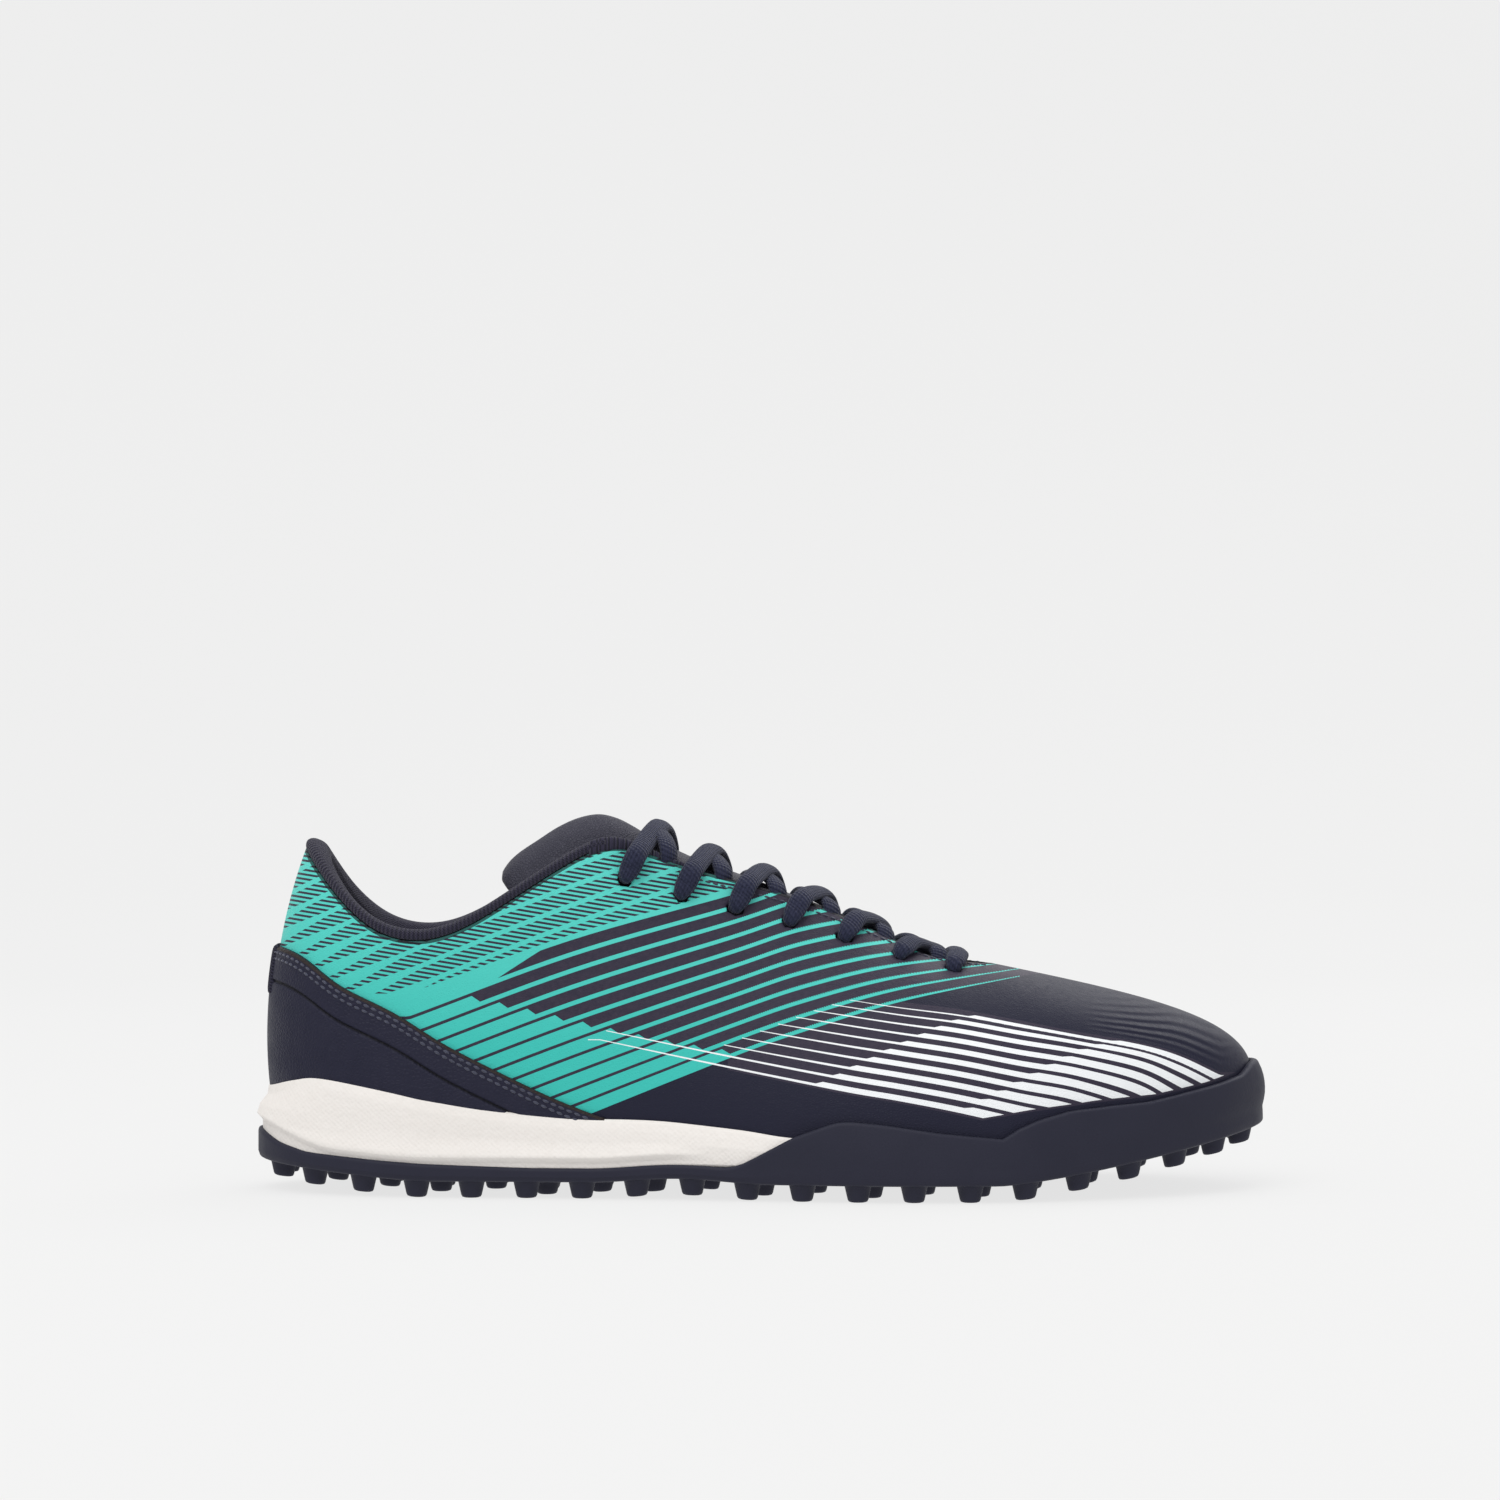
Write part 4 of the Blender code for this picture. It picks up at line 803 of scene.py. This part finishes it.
quads = np.vstack([kept, kept[:, ::-1] + count, np.column_stack([walls, walls[:, ::-1] + count])])
along, height = drawing(outer.reshape(-1, 3))
cut_height = np.interp(along, LINE_CUT[:, 0], LINE_CUT[:, 1])
drawn = stacked(along, height, stripe_number(along, height))
ruled = stacked(line_number(along, height), height - cut_height, run_down.ravel() * 1000)
upper = mesh_piece("upper_shell", np.concatenate([outer, inner]), quads, synthetic.material,
                   {"drawing": np.tile(drawn, (2, 1)), "lines": np.tile(ruled, (2, 1))})
upper.data.materials.append(knit.material)
lined = np.zeros(len(quads), int)
lined[len(kept):2 * len(kept)] = 1
upper.data.polygons.foreach_set("material_index", lined)
clean(upper)
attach(upper, "root")
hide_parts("upper")


# Heel counter. A thicker grained overlay wrapped round the heel, sewn on with two rows of navy
# thread under its raw top edge. A pressed groove runs under the sewn band.
OVERLAY, GROOVE_DOWN, GROOVE_DEEP = 0.0011, 0.0097, 0.0007
BACKING, BACKING_DOWN = 0.0001, 0.004
OVERLAY_TOP = (
    (0.000, 0.715), (0.030, 0.710), (0.056, 0.680), (0.092, 0.604), (0.144, 0.528),
    (0.195, 0.436), (0.262, 0.338), (0.295, 0.292), (0.325, 0.256), (0.345, 0.234),
)
BELOW_TOP = np.array((0, .1, .3, .6, 1, 1.6, 2.2, 3, 4, 5, 6, 7, 8, 8.7, 9.0, 9.3, 9.55, 9.85, 10.1, 10.4,
                      10.8, 11.5, 12.5, 14, 16, 18, 20, 22, 24, 26, 28, 30, 32, 34, 36, 38, 42, 46)) / 1000

grained = Finish("grained_synthetic", Specular_IOR_Level=0.14)
depth = grained.field("edge")[0]
pores = grained.grain(900).ramp(0.0, 0.30)
# Painted shade: the pressed groove is also coloured near-black along its line; the raw top edge takes its
# own brownish colour.
groove = (1 - (depth - GROOVE_DOWN * 1000).size() * 1.6).most(0.0)
raw = depth < 0.85
raw_edge_and_groove_shade = grained.mix(raw, (0.006, 0.006, 0.008), (0.026, 0.019, 0.018))
face = grained.mix(grained.noise(250), (0.014, 0.0145, 0.031), (0.020, 0.020, 0.039))
grained.set(Base_Color=grained.mix(raw.most(groove), face, raw_edge_and_groove_shade),
            Roughness=grained.noise(120).ramp(0.3, 0.7, 0.42, 0.55))
grained.relief(pores + grained.noise(350) * 0.7, 0.00012)

low = lift(last.x) + MIDSOLE_HEIGHT * shares_at(MIDSOLE_TOP, last.x) + GAP - 0.0012
high = HEEL_HEIGHT * shares_at(smooth_rows(OVERLAY_TOP, 6), last.x)
heights = np.maximum(high - BELOW_TOP[:, None], low)
edge_fall = np.clip(BELOW_TOP / 0.0006, 0, 1)[:, None]
groove_fall = np.exp(-((BELOW_TOP - GROOVE_DOWN) / 0.00045) ** 2)[:, None]
proud = FIT + OVERLAY * (0.45 + 0.55 * np.sqrt(edge_fall)) - GROOVE_DEEP * groove_fall


def loop_quads(rows, columns, start=0):
    """Quads of a closed section carried along the columns, filled at both ends."""
    end = rungs(rows, start) * columns
    return np.vstack([sheet_quads(rows, columns, round_rows=True), end, end + columns - 1])


order = last.round_heel(last.x, OVERLAY_TOP[-1][0])
loop = np.concatenate([last.skin(heights, proud), last.skin(heights, BACKING)[::-1]])[:, order]
down = np.concatenate([BELOW_TOP, np.full(len(BELOW_TOP), BACKING_DOWN)])[:, None]
edge_field = stacked(down, distance_along(last.outline[order])[None], 0.0) * 1000
counter = clean(mesh_piece("heel_counter_cover", loop, loop_quads(*loop.shape[:2]), grained.material,
                           {"edge": edge_field}))
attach(counter, "root")
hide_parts("heel_counter")


def stitches(name, path, normals, pitch, length, radius, finish):
    """Row of sewn stitches: small spindles laid along a path at a pitch, half sunk in the surface."""
    run = distance_along(path)
    at = np.arange(pitch / 2, run[-1], pitch)
    middle, up = read_at(at, run, path), unit(read_at(at, run, normals))
    ahead = unit(read_at(at + pitch / 4, run, path) - read_at(at - pitch / 4, run, path))
    across = unit(np.cross(ahead, up))
    bulge = np.array((0.0, 0.62, 1.0, 0.62, 0.0))
    place = np.array((-0.5, -0.36, 0.0, 0.36, 0.5)) * length
    rows, sides = len(bulge), 6
    turn = np.arange(sides) * 2 * math.pi / sides
    ring = (across[:, None, None] * np.cos(turn)[None, None, :, None]
            + up[:, None, None] * np.sin(turn)[None, None, :, None]) * (radius * bulge)[None, :, None, None]
    points = middle[:, None, None] + ahead[:, None, None] * place[None, :, None, None] + ring
    quads = copied_quads(sheet_quads(rows, sides, round_columns=True), len(at), rows * sides)
    piece = clean(mesh_piece(name, points, quads, finish))
    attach(piece, "root")


thread = Finish("thread", Roughness=0.6, Sheen_Weight=0.3)
thread.set(Base_Color=thread.mix(thread.noise(1200), (0.018, 0.020, 0.042), (0.045, 0.050, 0.095)))
thread.relief(thread.noise(2500), 0.0001)
for name, down in (("counter_stitch_upper", 0.0016), ("counter_stitch_lower", 0.0033)):
    face = last.skin(np.maximum(high - down, low), FIT + OVERLAY * 0.97)[0][order[4:-4]]
    outward = np.column_stack([last.away, np.full(COLUMNS, 0.15)])[order[4:-4]]
    stitches(name, face, outward, 0.0024, 0.0019, 0.00042, thread.material)


# Back strip. A short piece of textile over the back seam, where the counter's two sides meet.
STRIP_LOW, STRIP_HIGH, STRIP_COLUMNS, STRIP_THICKNESS = 0.0555, 0.0700, 6, 0.0011

strip_knit = Finish("strip_textile", Roughness=0.85, Specular_IOR_Level=0.15)
across, climb, _ = strip_knit.field("weave")
ribbed = (climb + across.size() * 0.43).wave(0.9)
strip_knit.set(Base_Color=strip_knit.mix(ribbed * 0.4 + 0.5, (0.008, 0.008, 0.018), (0.036, 0.034, 0.060)))
strip_knit.relief(ribbed + strip_knit.noise(1500), 0.00022)
order = np.arange(-STRIP_COLUMNS, STRIP_COLUMNS + 1) % COLUMNS
upward = np.linspace(-1, 1, 25)[:, None]
sideways = np.zeros(COLUMNS)
sideways[order] = np.linspace(-1, 1, len(order))
bulge = np.sqrt(np.clip((1 - upward ** 8) * (1 - sideways[None] ** 6), 0, 1))
heights = STRIP_LOW + (STRIP_HIGH - STRIP_LOW) * (upward + 1) / 2
ground = FIT + OVERLAY * 0.5
loop = np.concatenate([last.skin(heights, ground + STRIP_THICKNESS * bulge),
                       last.skin(heights, ground - FIT * bulge)[::-1]])[:, order]
weave = stacked(sideways[order][None] * 5, np.concatenate([heights, heights[::-1]]) * 1000, 0.0)
strip = clean(mesh_piece("back_strip", loop, sheet_quads(*loop.shape[:2], round_rows=True),
                         strip_knit.material, {"weave": weave}))
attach(strip, "root")


# Collar. A padded roll of foam under navy knit: it turns over the upper's edge as a ribbed binding
# and lines the heel inside as far as the throat.
PAD_THICKNESS, PAD_DEPTH, PAD_ROLL = 0.0058, 0.024, 0.0036
COLLAR_END, COLLAR_END_SIZE = 0.345, 0.5
PAD_SECTION = np.array((
    (-0.10, 0.00, 0.00), (-0.62, -0.20, 0.00), (-0.95, 0.40, 0.00), (-1.00, 1.00, 0.15),
    (-0.85, 1.00, 0.50), (-0.40, 1.00, 0.80), (0.08, 1.00, 1.00), (0.35, 1.00, 0.95),
    (0.68, 1.00, 0.60), (0.92, 1.00, 0.25), (1.00, 1.00, 0.00), (0.50, 1.00, 0.00),
    (-0.10, 1.00, 0.00),
))

binding = Finish("ribbed_knit", Roughness=0.85, Sheen_Weight=0.12, Sheen_Roughness=0.5,
                 Specular_IOR_Level=0.15)
along, down, _ = binding.field("knit")
rib, loops = along.wave(1.25) * down.ramp(5.0, 3.4), along.wave(0.85) * down.wave(0.75)
light = rib * 0.30 + loops * 0.30 + 0.5
binding.set(Base_Color=binding.mix(light, (0.008, 0.008, 0.018), (0.040, 0.036, 0.066)))
binding.relief(rib * 0.8 + loops * 0.55 + binding.noise(1800) * 0.5, 0.00026)

section = smooth_rows(PAD_SECTION, 4, closed=True)
order = last.round_heel(last.ring[:, 2], COLLAR_END)
along_edge = (last.ring[:, 2] - BACK) / LENGTH
plump = 1 - (1 - COLLAR_END_SIZE) * ease((along_edge - 0.22) / (COLLAR_END - 0.22))
down, through, inward = (section[:, which, None] for which in range(3))
depth = np.where(down > 0, down * PAD_DEPTH * plump, down * PAD_ROLL)
grid = last.under_edge(depth, through * (WALL + FIT) + inward * PAD_THICKNESS * plump)[:, order]
run, spread = distance_along(last.dense[-1][order]), distance_along(grid[:, len(order) // 2])
knit_field = stacked(run[None], spread[:, None], 0.0) * 1000
collar = clean(mesh_piece("collar_padding", grid, loop_quads(*grid.shape[:2], 1), binding.material,
                          {"knit": knit_field}))
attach(collar, "root")
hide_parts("collar")

# From the padding's end a thin fold of the same binding runs on along each edge of the throat.
FOLD_ENDS, FOLD_FADE = (0.325, 0.432), (0.335, 0.425)
FOLD_SECTION = np.array(((0.7, 0.9), (0.5, -0.1), (-0.8, -0.45), (-2.4, -0.35), (-3.4, 0.2), (-3.6, 1.1),
                         (-3.0, 2.0), (-1.2, 2.4), (0.5, 2.1))) / 1000
fold = smooth_rows(FOLD_SECTION, 3, closed=True)
slim = 1 - 0.60 * ease((along_edge - FOLD_FADE[0]) / (FOLD_FADE[1] - FOLD_FADE[0]))
middle = WALL / 2
wrapped = last.under_edge(fold[:, :1] * slim, middle + (fold[:, 1:] - middle) * (0.35 + 0.65 * slim))


def joined(parts):
    """Points, quads and fields of several parts as one."""
    points, quads, fields = zip(*parts)
    firsts = np.cumsum([0] + [len(group) for group in points[:-1]])
    quads = [group + first for group, first in zip(quads, firsts)]
    return np.concatenate(points), np.concatenate(quads), np.concatenate(fields)


folds = []
for side in (-1, 1):
    order = last.one_side(side)
    order = order[(along_edge[order] > FOLD_ENDS[0]) & (along_edge[order] < FOLD_ENDS[1])]
    grid = wrapped[:, order]
    grid[:, (0, -1)] = grid[:, (0, -1)].mean(axis=0)
    run = distance_along(last.dense[-1][order]) * 1000
    knit_field = stacked(run[None], 2.0, grid[..., 0] * 0).reshape(-1, 3)
    folds.append((grid.reshape(-1, 3), sheet_quads(*grid.shape[:2], round_rows=True), knit_field))
points, quads, knit_field = joined(folds)
binding_fold = clean(mesh_piece("throat_binding", points, quads, binding.material, {"knit": knit_field}))
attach(binding_fold, "root")

# A row of stitches follows each facing, inside its edge.
FACING_ENDS, FACING_DOWN = (0.435, 0.715), 0.0026
for name, side in (("facing_stitch_outer", -1), ("facing_stitch_inner", 1)):
    order = last.one_side(side)
    order = order[(along_edge[order] > FACING_ENDS[0]) & (along_edge[order] < FACING_ENDS[1])]
    line, below = (last.under_edge(FACING_DOWN, inward)[0][order] for inward in (-0.0001, 0.0010))
    stitches(name, line, line - below, 0.0022, 0.0017, 0.00034, thread.material)


# Tongue. A soft padded sheet faced with fine-grained synthetic, sewn under the vamp; its free end
# stands up out of the collar and rolls over at the top.
TONGUE_THICKNESS, TONGUE_CLEARANCE, TONGUE_WING = 0.0030, 0.0008, 0.011
TONGUE_DOME, TONGUE_SIDE = 0.24, 0.0012
TONGUE_END = (
    (0.388, 1.030, 0.166, 0.160), (0.372, 1.058, 0.164, 0.180), (0.356, 1.082, 0.164, 0.195),
    (0.338, 1.094, 0.166, 0.200), (0.318, 1.084, 0.170, 0.200), (0.298, 1.058, 0.174, 0.190),
    (0.278, 1.020, 0.170, 0.170), (0.259, 0.976, 0.152, 0.125), (0.243, 0.922, 0.108, 0.070),
)

soft = Finish("tongue_synthetic", Specular_IOR_Level=0.22)
pebbles = soft.grain(1300).ramp(0.0, 0.30)
light = soft.noise(400) * 0.6 + pebbles * 0.3
soft.set(Base_Color=soft.mix(light, (0.022, 0.022, 0.036), (0.056, 0.054, 0.076)),
         Roughness=soft.noise(100).ramp(0.3, 0.7, 0.48, 0.60))
soft.relief(pebbles + soft.noise(900) * 0.5, 0.00014)


def tongue_ribs(last):
    """Top of the tongue, a row of 11 points for each rib: arches under the laces, then the free end."""
    inward = WALL + TONGUE_CLEARANCE
    lines = last.under_edge(np.array([[TONGUE_WING], [TONGUE_WING / 2], [TONGUE_SIDE]]), inward)
    rise = unit((last.under_edge(-TONGUE_WING, inward) - last.under_edge(0.0, inward))[0])
    edge_x = last.ring[:, 2]
    near = np.arange(last.half, 0, -1)
    near = near[(edge_x[near] > BACK + 0.405 * LENGTH) & (edge_x[near] < BACK + 0.712 * LENGTH)]
    far = (last.columns - near) % last.columns
    low, high = lines[2][near], lines[2][far]
    handle = np.linalg.norm(high - low, axis=1, keepdims=True) * TONGUE_DOME
    t = np.linspace(0, 1, 7)[1:-1][:, None, None]
    arch = cubic(t, low, low + rise[near] * handle, high + rise[far] * handle, high)
    under = np.concatenate([lines[:, near], arch, lines[::-1][:, far]]).transpose(1, 0, 2)
    shares = np.array([-1, -0.95, -0.86, -0.62, -0.32, 0, 0.32, 0.62, 0.86, 0.95, 1])
    along, crown, half, droop = (np.array(TONGUE_END)[:, c, None] for c in range(4))
    tuck = ease((0.275 - along) / 0.030) * (0.0042 * np.abs(shares) ** 5 - 0.0014)
    end = stacked(BACK + along * LENGTH + tuck, shares * half * BALL_WIDTH,
                  INSTEP_HEIGHT * (crown - droop * np.abs(shares) ** 3))
    return np.concatenate([under, end])


ribs = tongue_ribs(cad_last)
top = smooth_rows(smooth_rows(ribs, 6).transpose(1, 0, 2), 8).transpose(1, 0, 2)
normals = face_normals(top, closed_round=False)
normals *= np.sign(normals[:, normals.shape[1] // 2, 2])[:, None, None]
rows, columns = top.shape[:2]
side_share = np.minimum(np.arange(columns), np.arange(columns)[::-1]) / 6.0
end_share = np.arange(rows)[::-1] / 5.0
round_off = np.sqrt(1 - (1 - np.clip(np.minimum(side_share[None], end_share[:, None]), 0, 1)) ** 2)
upper_face = top - normals * (TONGUE_THICKNESS * 0.5 * (1 - round_off))[..., None]
lower_face = top - normals * (TONGUE_THICKNESS * (0.5 + 0.5 * round_off))[..., None]
loop = np.concatenate([upper_face, lower_face[::-1]])
tongue = clean(mesh_piece("tongue_padding", loop, loop_quads(*loop.shape[:2]), soft.material))
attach(tongue, "root")
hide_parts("tongue")


# Laces. Flat-oval navy cords woven round a soft core: they cross from facing to facing over the
# tongue, each run diving through its hole, and one straight bar closes the row at the toe end.
LACE_WIDTH, LACE_THICKNESS, LACE_CLEARANCE = 0.0060, 0.0026, 0.0008
LACE_INSET, LACE_SPREAD, LACE_PLUMP = 0.0012, 0.0036, 1.15
LACE_RIDE = LACE_THICKNESS / 2 + LACE_CLEARANCE

woven = Finish("woven_lace", Roughness=0.75, Sheen_Weight=0.12, Sheen_Roughness=0.4,
               Specular_IOR_Level=0.15)
along, around, _ = woven.field("weave")
chevron = (along + (around.fraction() - 0.5).size() * 5).wave(1.0)
cross = around.wave(1 / 18)
fuzz = woven.noise(1600, 3.0)
light = chevron * 0.12 + cross * 0.10 + fuzz * 1.2 - 0.1
woven.set(Base_Color=woven.mix(light, (0.009, 0.011, 0.027), (0.034, 0.038, 0.076)))
woven.relief(chevron * 0.35 + cross * 0.3 + fuzz * 1.2, 0.00030)


def rim_at(side, x):
    """Throat's edge on one side where it passes x, with its outward normal."""
    order = last.one_side(side)
    edge, normals = last.dense[-1][order], last.dense_normals[-1][order]
    return read_at(x, edge[:, 0], edge), unit(read_at(x, edge[:, 0], normals))


def crown_at(x):
    """Top of the tongue in the middle of the throat at x, with its normal."""
    middle = ribs[np.argsort(ribs[:, 5, 0]), 5]
    beside = x + np.array((-0.5, 0, 0.5)) * LACE_WIDTH
    behind, height, ahead = np.interp(beside, middle[:, 0], middle[:, 2])
    return max(height, (behind + ahead) / 2), unit(np.array([behind - ahead, 0, LACE_WIDTH]))


def lace_tube(stations, sides=20, steps=7):
    """Flat oval carried along a smooth line through stations of (point, up, width, thickness)."""
    rows = np.array([np.concatenate([point, unit(np.asarray(up, float)), (width, thick)])
                     for point, up, width, thick in stations])
    rows = smooth_rows(rows, steps)
    line, up, width, thick = rows[:, :3], rows[:, 3:6], rows[:, 6:7], rows[:, 7:8]
    ahead = unit(np.gradient(line, axis=0))
    across = unit(np.cross(ahead, up))
    up = np.cross(across, ahead)
    turn = (np.arange(sides) * 2 * math.pi / sides)[None, :, None]
    oval = (line[:, None] + across[:, None] * np.cos(turn) * width[:, None] / 2
            + up[:, None] * np.sin(turn) * thick[:, None] * LACE_PLUMP / 2)
    weave = stacked(distance_along(line)[:, None] * 1000, np.arange(sides)[None] / sides, 0.0)
    cap, count = rungs(sides), len(line)
    quads = np.vstack([sheet_quads(count, sides, round_columns=True), cap, cap + (count - 1) * sides])
    return oval.reshape(-1, 3), quads, weave.reshape(-1, 3)


def into_hole(hole, normal, towards):
    """Stations of a run: on the facing, over the hole's edge, within the wall and behind it."""
    along = unit(hole - towards)
    return [(hole - along * EYELET * 0.62 + normal * LACE_RIDE, normal, LACE_WIDTH, LACE_THICKNESS),
            (hole - along * 0.0003 + normal * 0.0010, normal * 0.7 + along * 0.7, 0.0047, 0.0027),
            (hole - normal * WALL * 0.6, along, 0.0038, 0.0026),
            (hole - normal * (WALL + 0.0012) + along * 0.0002, along, 0.0036, 0.0016)]


places = {side: eyelet_places(last, side) for side in (-1, 1)}
tubes = []
for index in range(EYELET_COUNT - 1):
    for side in (-1, 1):
        hole, normal = places[-side][0][index], places[-side][1][index]
        source, source_normal = places[side][0][index + 1], places[side][1][index + 1]
        start, start_normal = rim_at(side, source[0] - LACE_SPREAD)
        hidden = start + (source - start) * 0.35 - start_normal * (WALL + 0.0010)
        start = start + (0, -side * (LACE_THICKNESS / 2 + LACE_INSET), 0)
        top, start_up = crown_at(start[0])
        start[2] = max(start[2], top - LACE_THICKNESS / 2) + LACE_RIDE * 0.6
        over, over_normal = rim_at(-side, hole[0] + LACE_SPREAD)
        middle_x = (start[0] + over[0]) / 2
        height, up = crown_at(middle_x)
        pile = LACE_THICKNESS * 0.80 * (side > 0)
        middle = np.array([middle_x, 0, height]) + up * (LACE_RIDE + pile)
        middle[2] = max(middle[2], (start[2] + over[2]) / 2)
        stations = [(source - source_normal * (WALL + 0.0012), source_normal, 0.0050, 0.0013),
                    (hidden, start_normal, 0.0054, 0.0014),
                    (start, start_up + (0, side * 0.2, 0), LACE_WIDTH, LACE_THICKNESS),
                    (middle, up, LACE_WIDTH, LACE_THICKNESS),
                    (over + over_normal * LACE_RIDE, over_normal + (0, 0, 0.4), LACE_WIDTH, LACE_THICKNESS)]
        tubes.append(lace_tube(stations + into_hole(hole, normal, over)))
ends = []
for side in (-1, 1):
    hole, normal = places[side][0][-1], places[side][1][-1]
    over, over_normal = rim_at(side, hole[0] + 0.4 * LACE_SPREAD)
    ends.append([(over + over_normal * LACE_RIDE, over_normal, LACE_WIDTH, LACE_THICKNESS)]
                + into_hole(hole, normal, over))
middle = (ends[0][0][0] + ends[1][0][0]) / 2
height, up = crown_at(middle[0])
middle[2] = max(height + LACE_RIDE, middle[2])
tubes.append(lace_tube(ends[0][::-1] + [(middle, up, LACE_WIDTH, LACE_THICKNESS)] + ends[1]))
points, quads, weave = joined(tubes)
laces = clean(mesh_piece("laces", points, quads, woven.material, {"weave": weave}))
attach(laces, "root")
for number in range(1, EYELET_COUNT):
    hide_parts("lace_crossing_%d" % number)
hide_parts("lace_bar")
